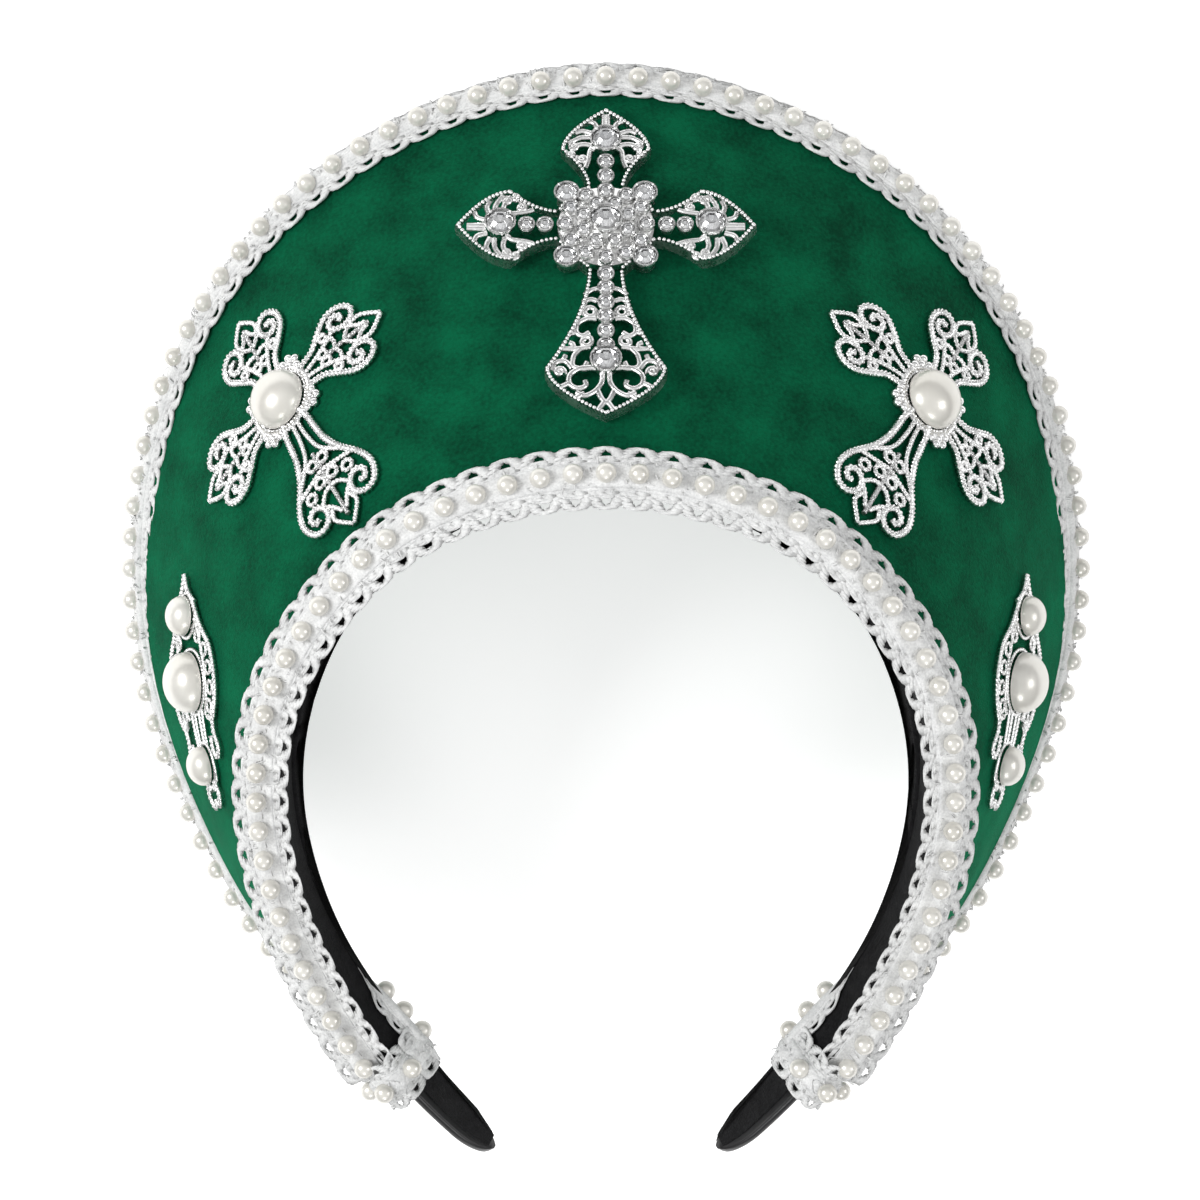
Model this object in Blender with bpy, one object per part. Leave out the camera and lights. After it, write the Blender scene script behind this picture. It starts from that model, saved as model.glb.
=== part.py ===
"""French hood: a velvet crescent standing on a headband, edged with pearl braid and set with crosses.

Lengths in the tables are millimetres and become metres where a mesh is made.
The hood is drawn as it is worn and seen from the front: x to the right, back away from the viewer,
height up, all measured from the middle of the inner pearl row. Left and right in the names are the
viewer's too. A share runs from -1 at the left horn through 0 at the crown to 1 at the right horn,
and a part from 0 at the inner edge to 1 at the rim. An empty then lays the hood on its back.
"""
import math
from collections import namedtuple

import bmesh
import bpy
from mathutils import Matrix, Vector

MM = 0.001

# Cloth, braid and band
WALL = 3.0
BAND_THICKNESS = 2.3
BAND_WIDTH = 11.0
BAND_TIP_SHARE = 1.18
BAND_TAPER_FROM, BAND_TAPER = 0.9, 0.18
BAND_ROUND_END, BAND_END_WIDTH = 0.035, 0.35
BAND_CELLS = (41, 1)
BAND_LEAN = math.radians(22)
BAND_TOE_IN = math.radians(32)
GAP = 0.4
INNER_MARGIN = 2.0
RIM_MARGIN = 2.6
BOW, FULL_BOW_LENGTH = 1.0, 60.0
CLOTH_END_SHARE = 0.985
CLOTH_CELLS = (44, 2)

# Pearls
EDGE_PEARLS_OUTER = 85
EDGE_PEARLS_INNER = 55
PEARL_SIDES = 10
PEARL_RINGS = ((1.8, 0.0), (2.05, 1.5))
PEARL_TOP = 2.7
CABOCHON_SIDES = 10
CABOCHON_LEVELS = (0.35, 0.68)
CABOCHON_RISE = 0.8
CROSS_PEARL_RADIUS = 6.4
BROOCH_PEARL_RADIUS = 6.4
SMALL_PEARL_RADIUS = 4.2

# Heights that part the crown of the rim from its sides where the hood lies on its back
CROWN_FROM = 60.0
SIDES_BELOW = 20.0

# Jewels
JEWEL_GAP = 0.5
SEAT_GAP = 0.3
CROSS_THICKNESS = 2.8
CROSS_PART = 0.593
BOSS_RADIUS = 8.6
BOSS_RISE = 1.2
BOSS_SIDES = 12
FLARE_PLACES, FLARE_POWER = (0.0, 0.45, 1.0), 1.8
POINT_PLACES, POINT_POWER = (0.35, 0.7), 1.35
LOBE_RADIUS = 13.4
STONE_SIDES = 8
STONE_TABLE_SHARE = 0.55
FILIGREE_THICKNESS = 0.9
FILIGREE_TURN = math.radians(-3)
FILIGREE_SHARE, FILIGREE_PART = 0.317, 0.533
CROSS_WINDOW_CORNERS, PLATE_WINDOW_CORNERS = 5, 4
BROOCH_SHARE, BROOCH_PART = 0.582, 0.465
BROOCH_TURN = math.radians(22)

# One half of the hood, a row for each eighth of the way from the crown to the end of the horn
Row = namedtuple("Row", "edge_x edge_drop rim_x rim_height rim_back")
ROWS = (
    Row(0.0, 0.0, 0.0, 86.0, 52.0),
    Row(22.0, 3.3, 35.0, 79.5, 56.0),
    Row(42.5, 13.0, 66.0, 61.5, 62.0),
    Row(58.0, 29.0, 88.0, 34.0, 70.5),
    Row(68.5, 49.0, 99.5, 1.0, 79.0),
    Row(71.5, 71.0, 100.0, -34.5, 84.0),
    Row(68.5, 93.5, 89.0, -69.0, 82.0),
    Row(60.5, 114.5, 70.0, -99.0, 75.0),
    Row(49.5, 134.0, 42.0, -115.5, 62.0),
)
# The free end of the band below the horn, rows at the same spacing
TailRow = namedtuple("TailRow", "edge_x edge_drop")
TAIL_ROWS = (TailRow(36.0, 151.5), TailRow(20.5, 167.0))
STEPS = len(ROWS) - 1
EDGE_LENGTH = 180.0
RUN_STEP, FACE_STEP = 0.004, 0.01
LAST_SQUARE_SHARE = 0.995

# Cross-sections of the two braids: how far out along the face, and how high over it
BraidPoint = namedtuple("BraidPoint", "out high")
OUTER_BRAID = (
    BraidPoint(-0.6, 3.6),
    BraidPoint(-5.0, 2.5),
    BraidPoint(0.7, 2.1),
    BraidPoint(0.7, -2.1),
    BraidPoint(-2.4, -3.0),
    BraidPoint(2.9, -0.9),
)
INNER_BRAID = (
    BraidPoint(-2.1, 0.8),
    BraidPoint(-6.2, -2.7),
    BraidPoint(-2.6, -0.5),
    BraidPoint(2.6, 1.0),
    BraidPoint(7.0, 1.0),
    BraidPoint(3.1, 2.3),
)

# Arms of the centre cross: where the neck starts, flares to its corners and ends in a point
Arm = namedtuple("Arm", "name angle neck neck_half corner corner_half tip stone")
CROSS_ARMS = (
    Arm("top", 90, 9.5, 3.9, 19.2, 9.4, 30.0, 21.3),
    Arm("left", 180, 10.0, 3.9, 19.6, 9.0, 31.0, 21.7),
    Arm("bottom", 270, 11.0, 3.7, 35.4, 12.4, 46.9, 34.0),
    Arm("right", 0, 10.0, 3.9, 19.6, 9.0, 31.0, 21.7),
)
# Pierced windows of an arm, placed from its stone: ahead, aside, half length, half width, turn
Window = namedtuple("Window", "ahead aside long wide turn")
SHORT_ARM_WINDOWS = (
    Window(-5.4, 2.9, 1.9, 0.8, 15),
    Window(-0.6, 4.9, 1.6, 0.9, 60),
    Window(3.8, 2.3, 1.2, 0.8, -40),
)
LONG_ARM_WINDOWS = (
    Window(-10.5, 3.3, 2.3, 0.9, 10),
    Window(-4.6, 4.4, 2.2, 1.2, 30),
    Window(-0.2, 7.9, 1.9, 1.2, 50),
    Window(4.4, 4.3, 1.8, 1.5, -40),
)
CROSS_STONES = {"centre": (3.1, 2.4), "arm": (2.9, 2.0), "corner": (2.4, 1.7)}
CORNER_STONE_PLACE = 8.1
# Corners of the lobe between two arms: angle in degrees, and share of the lobe's radius
LOBE_CORNERS = ((34, 0.86), (40, 1.0), (50, 1.0), (56, 0.86))

# Half outline of one filigree arm as far along the arm and out from its middle, and its windows
SHORT_FILIGREE = ((4.5, 3.6), (7.6, 3.6), (9.2, 6.4), (11.8, 4.4), (15.2, 7.4), (19.0, 9.0),
                  (22.6, 7.0), (22.4, 3.2), (27.5, 0.0))
LONG_FILIGREE = ((4.5, 3.6), (7.6, 3.6), (9.2, 6.4), (12.5, 3.6), (20.0, 4.6), (27.5, 8.2),
                 (32.5, 9.8), (36.2, 6.8), (35.0, 3.4), (40.2, 0.0))
SHORT_FILIGREE_WINDOWS = (Window(9.4, 3.4, 1.5, 1.2, 0), Window(18.2, 4.9, 3.4, 2.6, -6))
LONG_FILIGREE_WINDOWS = (Window(10.0, 2.0, 1.9, 1.0, 0), Window(18.6, 1.9, 3.4, 1.2, 4),
                         Window(30.0, 4.9, 4.8, 2.9, 14))
# Half outline of a side brooch along its length, and its windows
BROOCH_OUTLINE = ((22.5, 0.0), (17.0, 3.2), (11.0, 7.0), (5.0, 12.0), (-3.0, 13.0), (-9.0, 10.0),
                  (-15.0, 10.0), (-17.0, 5.0), (-24.5, 3.0), (-26.0, 0.0))
BROOCH_WINDOWS = (Window(9.0, 3.2, 2.4, 1.2, -40), Window(0.0, 8.8, 3.0, 1.2, 90),
                  Window(-9.4, 5.0, 2.2, 1.5, 0))
BROOCH_PEARLS = (("upper", 14.0, SMALL_PEARL_RADIUS), ("middle", 0.0, BROOCH_PEARL_RADIUS),
                 ("lower", -17.6, SMALL_PEARL_RADIUS))

# Section of the wrap that binds both braids at each end of the horn: across the band, and out from it
WrapPoint = namedtuple("WrapPoint", "across out")
WRAP_OUTSIDE = (WrapPoint(-3.0, -4.2), WrapPoint(13.8, -4.2), WrapPoint(13.8, 4.6), WrapPoint(5.4, 5.2),
                WrapPoint(-3.0, 4.6))
WRAP_INSIDE = (WrapPoint(-0.5, -2.8), WrapPoint(11.4, -2.8), WrapPoint(11.4, 0.4), WrapPoint(-0.5, 0.4))
WRAP_START = 1.016
WRAP_LENGTH = 6.5

# Search for the angle at which the crown and the sides of the rim touch the table together
STEEPEST_TILT = math.radians(45)
TILT_TRIES = 40
DRAPE_TRIES = 5

# Colour, roughness and metallic value of each stuff
FINISHES = {
    "velvet": ((0.005, 0.13, 0.055), 0.9, 0.0),
    "braid": ((0.86, 0.87, 0.85), 0.8, 0.0),
    "pearl": ((0.85, 0.83, 0.77), 0.25, 0.0),
    "silver": ((0.80, 0.80, 0.79), 0.25, 1.0),
    "stone": ((0.90, 0.92, 0.94), 0.05, 0.0),
    "band": ((0.015, 0.015, 0.017), 0.75, 0.0),
}


# The hood's shape: smooth curves through the table rows

def through(before, start, end, after, part):
    """Smooth value between start and end, guided by the values on either side."""
    leave = (end - before) / 2
    arrive = (after - start) / 2
    square, cube = part * part, part * part * part
    return ((2 * cube - 3 * square + 1) * start + (cube - 2 * square + part) * leave
            + (3 * square - 2 * cube) * end + (cube - square) * arrive)


def along_rows(values, share, mirrored_sign):
    """Value of one table column at a share of the way down one side."""
    place = abs(share) * STEPS
    low = min(int(place), len(values) - 2)
    before = values[low - 1] if low else mirrored_sign * values[1]
    last = low + 2 >= len(values)
    after = 2 * values[-1] - values[-2] if last else values[low + 2]
    return through(before, values[low], values[low + 1], after, place - low)


def edge(share):
    """Front edge of the hood, where the inner pearls run; past 1 it is the band's free end."""
    rows = ROWS + TAIL_ROWS
    across = along_rows([row.edge_x for row in rows], share, -1)
    drop = along_rows([row.edge_drop for row in rows], share, 1)
    side = 1 if share >= 0 else -1
    return Vector((side * across, drop * math.sin(BAND_LEAN), -drop * math.cos(BAND_LEAN)))


def rim(share):
    """Outer edge of the hood, where the outer pearls run."""
    across = along_rows([row.rim_x for row in ROWS], share, -1)
    height = along_rows([row.rim_height for row in ROWS], share, 1)
    back = along_rows([row.rim_back for row in ROWS], share, 1)
    side = 1 if share >= 0 else -1
    return Vector((side * across, back, height))


def run_direction(curve, share):
    """Direction in which a curve runs, from the left horn to the right one."""
    return (curve(share + RUN_STEP) - curve(share - RUN_STEP)).normalized()


def section_frame(share, curve=edge):
    """Direction from edge to rim and the outward normal, square to the given curve."""
    held = max(-1.0, min(1.0, share))
    run = run_direction(curve, max(-LAST_SQUARE_SHARE, min(LAST_SQUARE_SHARE, share)))
    out = rim(held) - edge(held)
    out = (out - run * out.dot(run)).normalized()
    return out, run.cross(out)


def face(share, part, high=0.0):
    """Point on the velvet face, part 0 at its cut inner edge and 1 at its cut outer edge."""
    inner_out, inner_normal = section_frame(share)
    outer_out, outer_normal = section_frame(share, rim)
    inner = edge(share) + inner_out * INNER_MARGIN
    outer = rim(share) - outer_out * RIM_MARGIN
    normal = inner_normal.lerp(outer_normal, part).normalized()
    bow = BOW * 4 * part * (1 - part) * min(1.0, (outer - inner).length / FULL_BOW_LENGTH) ** 2
    return inner.lerp(outer, part) + normal * (high + bow)


def band_frame(share):
    """Width direction of the band and its outward normal; the band toes in towards its ends."""
    run = run_direction(edge, share)
    axis = Vector((0, math.cos(BAND_LEAN), math.sin(BAND_LEAN)))
    outward = run.cross(axis)
    turn = BAND_TOE_IN * min(1.0, abs(share)) ** 2
    width = axis * math.cos(turn) - outward * math.sin(turn)
    return width, outward * math.cos(turn) + axis * math.sin(turn)


def band_edge(share):
    """Front edge of the band's outer face; the band lies just under the velvet's inner corner."""
    outward = band_frame(share)[1]
    out, normal = section_frame(share)
    depth = WALL * normal.dot(outward) - INNER_MARGIN * out.dot(outward) + GAP
    return edge(share) - outward * depth


def band_point(share, part, sink=0.0):
    """Point on the band's outer face, or sunk below it."""
    width, outward = band_frame(share)
    past = max(0.0, abs(share) - BAND_TAPER_FROM) / (BAND_TIP_SHARE - BAND_TAPER_FROM)
    left = max(0.0, BAND_TIP_SHARE - abs(share)) / BAND_ROUND_END
    round_end = math.sqrt(max(0.0, 1 - (1 - min(1.0, left)) ** 2))
    wide = BAND_WIDTH * (1 - BAND_TAPER * past) * max(BAND_END_WIDTH, round_end)
    middle = BAND_WIDTH / 2
    return band_edge(share) - outward * sink + width * (middle + (part - 0.5) * wide)


# Building blocks

def add_object(name, mesh, finish, parent, smooth=None):
    """Object with a material of its own; smooth is the sharpest angle that is still shaded round."""
    if smooth is not None:
        mesh.shade_smooth()
        mesh.set_sharp_from_angle(angle=math.radians(smooth))
    color, roughness, metallic = FINISHES[finish]
    material = bpy.data.materials.new(name)
    material.use_nodes = True
    shader = material.node_tree.nodes["Principled BSDF"]
    shader.inputs["Base Color"].default_value = (*color, 1)
    shader.inputs["Roughness"].default_value = roughness
    shader.inputs["Metallic"].default_value = metallic
    mesh.materials.append(material)
    item = bpy.data.objects.new(name, mesh)
    bpy.context.scene.collection.objects.link(item)
    item.parent = parent
    return item


def mesh_from(name, sketch):
    """Closes a bmesh drawn in millimetres and hands it on as a mesh in metres."""
    bmesh.ops.recalc_face_normals(sketch, faces=sketch.faces)
    if sketch.calc_volume(signed=True) < 0:
        bmesh.ops.reverse_faces(sketch, faces=sketch.faces)
    bmesh.ops.scale(sketch, vec=(MM, MM, MM), verts=sketch.verts)
    mesh = bpy.data.meshes.new(name)
    sketch.to_mesh(mesh)
    sketch.free()
    return mesh


def bent_sheet(cells, place, thickness):
    """Thick sheet: place(along, across, depth) bends a grid, along and across running from 0 to 1."""
    sketch = bmesh.new()
    bmesh.ops.create_grid(sketch, x_segments=cells[0], y_segments=cells[1], size=0.5)
    flat = [(vertex, vertex.co.x + 0.5, vertex.co.y + 0.5) for vertex in sketch.verts]
    thick = bmesh.ops.extrude_face_region(sketch, geom=sketch.faces[:])
    lower = [item for item in thick["geom"] if isinstance(item, bmesh.types.BMVert)]
    under = [(vertex, vertex.co.x + 0.5, vertex.co.y + 0.5) for vertex in lower]
    for vertex, along, across in flat:
        vertex.co = place(along, across, 0.0)
    for vertex, along, across in under:
        vertex.co = place(along, across, thickness)
    return sketch


def add_pearl(sketch, corners, center, normal, run):
    """Dome of a pearl standing on a four-cornered patch."""
    side = normal.cross(run)
    loops = []
    for radius, height in PEARL_RINGS:
        loop = []
        for index in range(PEARL_SIDES):
            angle = math.tau * index / PEARL_SIDES
            spot = center + (run * math.cos(angle) + side * math.sin(angle)) * radius + normal * height
            loop.append(sketch.verts.new(spot))
        loops.append(loop)

    def nearest(one, other):
        middle = (one.co + other.co) / 2
        return min(range(4), key=lambda corner: (corners[corner].co - middle).length)

    base = loops[0]
    picks = [nearest(base[index], base[(index + 1) % PEARL_SIDES]) for index in range(PEARL_SIDES)]
    for index, corner in enumerate(picks):
        after = (index + 1) % PEARL_SIDES
        sketch.faces.new((corners[corner], base[index], base[after]))
        if picks[after] != corner:
            sketch.faces.new((corners[corner], base[after], corners[picks[after]]))
    for low, high in zip(loops, loops[1:]):
        for index in range(PEARL_SIDES):
            after = (index + 1) % PEARL_SIDES
            sketch.faces.new((low[index], high[index], high[after], low[after]))
    top = sketch.verts.new(center + normal * PEARL_TOP)
    for index in range(PEARL_SIDES):
        sketch.faces.new((loops[-1][index], top, loops[-1][(index + 1) % PEARL_SIDES]))


def beaded_braid(name, count, section, place, parent):
    """Braid with one pearl in every length; its first and last section points carry the pearls."""
    sketch = bmesh.new()
    shares = [-1 + 2 * index / count for index in range(count + 1)]
    loops = []
    for share in shares:
        loops.append([sketch.verts.new(place(share, point)) for point in section])
    for index in range(count):
        here, there = loops[index], loops[index + 1]
        for corner in range(len(section) - 1):
            sketch.faces.new((here[corner], here[corner + 1], there[corner + 1], there[corner]))
        corners = (here[-1], here[0], there[0], there[-1])
        center = sum((corner.co for corner in corners), Vector()) / 4
        run = ((corners[2].co + corners[3].co) - (corners[0].co + corners[1].co)).normalized()
        span = corners[0].co - corners[1].co
        normal = run.cross(span).normalized()
        away = center - sum((vertex.co for vertex in here), Vector()) / len(here)
        if normal.dot(away) < 0:
            normal = -normal
        add_pearl(sketch, corners, center, normal, run)
    sketch.faces.new(loops[0])
    sketch.faces.new(loops[-1])
    return add_object(name, mesh_from(name, sketch), "braid", parent, smooth=40)


# The pieces

def make_crescent(parent):
    def place(along, across, depth):
        return face((2 * along - 1) * CLOTH_END_SHARE, across, -depth)

    sketch = bent_sheet(CLOTH_CELLS, place, WALL)
    return add_object("crescent", mesh_from("crescent", sketch), "velvet", parent, smooth=50)


def make_wraps(parent):
    """A turn of the braid round the band at each end of the horn, with its pearls."""
    for side, name in ((-1, "left"), (1, "right")):
        middle = side * (WRAP_START + WRAP_LENGTH / 2 / EDGE_LENGTH)
        width, outward = band_frame(middle)
        run = run_direction(edge, middle)
        start = band_edge(middle)
        sketch = pierced_plate(WRAP_OUTSIDE, [WRAP_INSIDE], WRAP_LENGTH)
        bmesh.ops.recalc_face_normals(sketch, faces=sketch.faces)
        slot = sum((Vector((*point, WRAP_LENGTH / 2)) for point in WRAP_INSIDE), Vector()) / len(WRAP_INSIDE)
        walls = [wall for wall in sketch.faces if abs(wall.normal.z) < 0.5]
        for wall in walls:
            center = wall.calc_center_median()
            normal = wall.normal.copy()
            if center.y < 0 or normal.dot(center - slot) < 0:
                continue
            corners = [loop.vert for loop in wall.loops]
            bmesh.ops.delete(sketch, geom=[wall], context="FACES_ONLY")
            along = (corners[1].co - corners[0].co).normalized()
            add_pearl(sketch, corners, center, normal, along)
        laid(sketch, lambda x, y, z: start + width * x + outward * y + run * (z - WRAP_LENGTH / 2))
        title = "braid_wrap_" + name
        add_object(title, mesh_from(title, sketch), "braid", parent, smooth=40)


def make_headband(parent):
    def place(along, across, depth):
        share = (2 * along - 1) * BAND_TIP_SHARE
        return band_point(share, across, depth)

    sketch = bent_sheet(BAND_CELLS, place, BAND_THICKNESS)
    return add_object("headband", mesh_from("headband", sketch), "band", parent, smooth=50)


def rim_braid_point(share, point):
    out, normal = section_frame(share, rim)
    return rim(share) + out * (point.out - RIM_MARGIN) + normal * (point.high - WALL / 2)


def edge_braid_point(share, point):
    out, normal = section_frame(share)
    return edge(share) + out * point.out + normal * point.high


# Jewels: plates drawn flat as closed loops, and stones and pearls that sit on them

class Seat:
    """Flat drawing board laid on the velvet at one spot: x along the edge, y from edge to rim."""

    def __init__(self, share, part, turn=0.0):
        self.share, self.part = share, part
        self.origin = face(share, part)
        run = (face(share + FACE_STEP, part) - face(share - FACE_STEP, part)).normalized()
        out = face(share, part + FACE_STEP) - face(share, part - FACE_STEP)
        self.up = run.cross(out).normalized()
        out = self.up.cross(run).normalized()
        self.x = run * math.cos(turn) + out * math.sin(turn)
        self.y = self.up.cross(self.x)

    def flat(self, x, y, high):
        return self.origin + self.x * x + self.y * y + self.up * high

    def draped(self, x, y, high):
        """The same spot carried down on to the velvet, for thin metal pressed to its curve."""
        share, part = self.share, self.part
        for _ in range(DRAPE_TRIES):
            here = face(share, part)
            along = (face(share + FACE_STEP, part) - here) / FACE_STEP
            across = (face(share, part + FACE_STEP) - here) / FACE_STEP
            miss = self.origin + self.x * x + self.y * y - here
            left, right = miss.dot(self.x), miss.dot(self.y)
            a, b = along.dot(self.x), across.dot(self.x)
            c, d = along.dot(self.y), across.dot(self.y)
            scale = a * d - b * c
            share += (left * d - right * b) / scale
            part += (right * a - left * c) / scale
        here = face(share, part)
        along = face(share + FACE_STEP, part) - here
        across = face(share, part + FACE_STEP) - here
        return here + along.cross(across).normalized() * high


def turned(points, angle):
    """Points drawn along +x swung round to point at an angle in degrees."""
    angle = math.radians(angle)
    return [(x * math.cos(angle) - y * math.sin(angle), x * math.sin(angle) + y * math.cos(angle))
            for x, y in points]


def window_loops(windows, ahead, corners):
    """Closed loops of an arm's windows, on both sides of its middle line."""
    loops = []
    for window in windows:
        for side in (1, -1):
            tilt = math.radians(window.turn)
            loop = []
            for index in range(corners):
                angle = math.tau * index / corners
                x, y = window.long * math.cos(angle), window.wide * math.sin(angle)
                loop.append((ahead + window.ahead + x * math.cos(tilt) - y * math.sin(tilt),
                             side * (window.aside + x * math.sin(tilt) + y * math.cos(tilt))))
            loops.append(loop)
    return loops


def pierced_plate(outline, holes, thickness, boss=None, boss_rise=0.0):
    """Plate with windows cut through it and, if asked, a raised boss."""
    sketch = bmesh.new()

    def ring(loop):
        corners = [sketch.verts.new((x, y, 0)) for x, y in loop]
        edges = [sketch.edges.new((corner, corners[index - 1])) for index, corner in enumerate(corners)]
        return corners, edges

    rings = [ring(loop) for loop in [outline, *holes]]
    if boss:
        boss_corners, boss_edges = ring(boss)
        rings.append((boss_corners, boss_edges))
    edges = [edge_line for _, loop_edges in rings for edge_line in loop_edges]
    bmesh.ops.triangle_fill(sketch, use_beauty=True, edges=edges)
    if boss:
        sketch.faces.new(boss_corners)
    bmesh.ops.recalc_face_normals(sketch, faces=sketch.faces)
    raised = bmesh.ops.extrude_face_region(sketch, geom=sketch.faces[:])
    top = [item for item in raised["geom"] if isinstance(item, bmesh.types.BMVert)]
    bmesh.ops.translate(sketch, vec=(0, 0, thickness), verts=top)
    if boss:
        caps = [item for item in raised["geom"] if isinstance(item, bmesh.types.BMFace)
                and len(item.verts) == len(boss)]
        lifted = bmesh.ops.extrude_face_region(sketch, geom=caps)
        bmesh.ops.delete(sketch, geom=caps, context="FACES_ONLY")
        corners = [item for item in lifted["geom"] if isinstance(item, bmesh.types.BMVert)]
        bmesh.ops.translate(sketch, vec=(0, 0, boss_rise), verts=corners)
    return sketch


def laid(sketch, place):
    """Carries a flat drawing on to its seat."""
    for vertex in sketch.verts:
        vertex.co = place(*vertex.co)
    return sketch


def half_pearl(radius):
    """Half pearl with a flat bottom, drawn up ring by ring along a quarter circle."""
    sketch = bmesh.new()
    bmesh.ops.create_circle(sketch, cap_ends=True, segments=CABOCHON_SIDES, radius=radius)
    loop = sketch.edges[:]
    previous = 1.0
    for level in CABOCHON_LEVELS:
        angle = level * math.pi / 2
        grown = bmesh.ops.extrude_edge_only(sketch, edges=loop)["geom"]
        corners = [item for item in grown if isinstance(item, bmesh.types.BMVert)]
        loop = [item for item in grown if isinstance(item, bmesh.types.BMEdge)
                and all(corner in corners for corner in item.verts)]
        shrink = math.cos(angle) / previous
        bmesh.ops.scale(sketch, vec=(shrink, shrink, 1), verts=corners)
        for corner in corners:
            corner.co.z = math.sin(angle) * radius * CABOCHON_RISE
        previous = math.cos(angle)
    cap = bmesh.ops.contextual_create(sketch, geom=loop)["faces"]
    poked = bmesh.ops.poke(sketch, faces=cap)["verts"]
    poked[0].co.z = radius * CABOCHON_RISE
    return sketch


def make_centre_cross(parent):
    seat = Seat(0.0, CROSS_PART)
    outline, holes = [], []
    for arm in sorted(CROSS_ARMS, key=lambda item: item.angle):
        flare = [(arm.neck + (arm.corner - arm.neck) * part,
                  arm.neck_half + (arm.corner_half - arm.neck_half) * part ** FLARE_POWER)
                 for part in FLARE_PLACES]
        point = [(arm.corner + (arm.tip - arm.corner) * part,
                  arm.corner_half * (1 - part ** POINT_POWER))
                 for part in POINT_PLACES]
        half = flare + point
        whole = [(x, -y) for x, y in half] + [(arm.tip, 0.0)] + half[::-1]
        outline += turned(whole, arm.angle)
        lobe = [(LOBE_RADIUS * math.cos(math.radians(lean)) * size,
                 LOBE_RADIUS * math.sin(math.radians(lean)) * size)
                for lean, size in LOBE_CORNERS]
        outline += turned(lobe, arm.angle)
        windows = LONG_ARM_WINDOWS if arm.name == "bottom" else SHORT_ARM_WINDOWS
        loops = window_loops(windows, arm.stone, CROSS_WINDOW_CORNERS)
        holes += [turned(loop, arm.angle) for loop in loops]
    boss = [(BOSS_RADIUS * math.cos(math.tau * index / BOSS_SIDES),
             BOSS_RADIUS * math.sin(math.tau * index / BOSS_SIDES))
            for index in range(BOSS_SIDES)]
    sketch = pierced_plate(outline, holes, CROSS_THICKNESS, boss, BOSS_RISE)
    laid(sketch, lambda x, y, z: seat.flat(x, y, z + JEWEL_GAP))
    add_object("centre_cross", mesh_from("centre_cross", sketch), "silver", parent)

    top = JEWEL_GAP + CROSS_THICKNESS + SEAT_GAP
    places = [("centre_stone", 0.0, 0.0, "centre", top + BOSS_RISE)]
    for arm in CROSS_ARMS:
        (x, y), = turned([(arm.stone, 0.0)], arm.angle)
        places.append((arm.name + "_stone", x, y, "arm", top))
    for up, side in ((1, 1), (1, -1), (-1, 1), (-1, -1)):
        name = ("upper_" if up > 0 else "lower_") + ("right" if side > 0 else "left") + "_stone"
        places.append((name, side * CORNER_STONE_PLACE, up * CORNER_STONE_PLACE, "corner", top))
    for name, x, y, size, high in places:
        radius, rise = CROSS_STONES[size]
        sketch = bmesh.new()
        bmesh.ops.create_cone(sketch, cap_ends=True, segments=STONE_SIDES, radius1=radius,
                              radius2=STONE_TABLE_SHARE * radius, depth=rise)
        laid(sketch, lambda a, b, c: seat.flat(x + a, y + b, high + rise / 2 + c))
        add_object(name, mesh_from(name, sketch), "stone", parent)


def make_filigree_crosses(parent):
    for side, name in ((-1, "left"), (1, "right")):
        seat = Seat(side * FILIGREE_SHARE, FILIGREE_PART, -side * FILIGREE_TURN)
        outline, holes = [], []
        for angle in (0, 90, 180, 270):
            half = LONG_FILIGREE if angle == 270 else SHORT_FILIGREE
            windows = LONG_FILIGREE_WINDOWS if angle == 270 else SHORT_FILIGREE_WINDOWS
            outline += turned([(x, -y) for x, y in half] + list(half[-2::-1]), angle)
            loops = window_loops(windows, 0.0, PLATE_WINDOW_CORNERS)
            holes += [turned(loop, angle) for loop in loops]
        sketch = pierced_plate(outline, holes, FILIGREE_THICKNESS)
        laid(sketch, lambda x, y, z: seat.draped(x, y, z + JEWEL_GAP))
        title = "filigree_cross_" + name
        add_object(title, mesh_from(title, sketch), "silver", parent)
        sketch = half_pearl(CROSS_PEARL_RADIUS)
        base = JEWEL_GAP + FILIGREE_THICKNESS + SEAT_GAP
        laid(sketch, lambda x, y, z: seat.flat(x, y, z + base))
        title = "cross_pearl_" + name
        add_object(title, mesh_from(title, sketch), "pearl", parent, smooth=50)


def make_brooches(parent):
    for side, name in ((-1, "left"), (1, "right")):
        turn = BROOCH_TURN if side < 0 else math.pi - BROOCH_TURN
        seat = Seat(side * BROOCH_SHARE, BROOCH_PART, turn)
        outline = list(BROOCH_OUTLINE) + [(x, -y) for x, y in BROOCH_OUTLINE[-2:0:-1]]
        holes = window_loops(BROOCH_WINDOWS, 0.0, PLATE_WINDOW_CORNERS)
        sketch = pierced_plate(outline, holes, FILIGREE_THICKNESS)
        laid(sketch, lambda x, y, z: seat.draped(x, y, z + JEWEL_GAP))
        title = "side_brooch_" + name
        add_object(title, mesh_from(title, sketch), "silver", parent)
        base = JEWEL_GAP + FILIGREE_THICKNESS + SEAT_GAP
        for spot, along, radius in BROOCH_PEARLS:
            sketch = half_pearl(radius)
            middle = seat.draped(along, 0.0, base)
            up = seat.draped(along, 0.0, base + 1.0) - middle
            across = up.cross(seat.x).normalized()
            ahead = across.cross(up)
            laid(sketch, lambda x, y, z: middle + ahead * x + across * y + up * z)
            title = f"{spot}_pearl_{name}"
            add_object(title, mesh_from(title, sketch), "pearl", parent, smooth=50)


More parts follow.
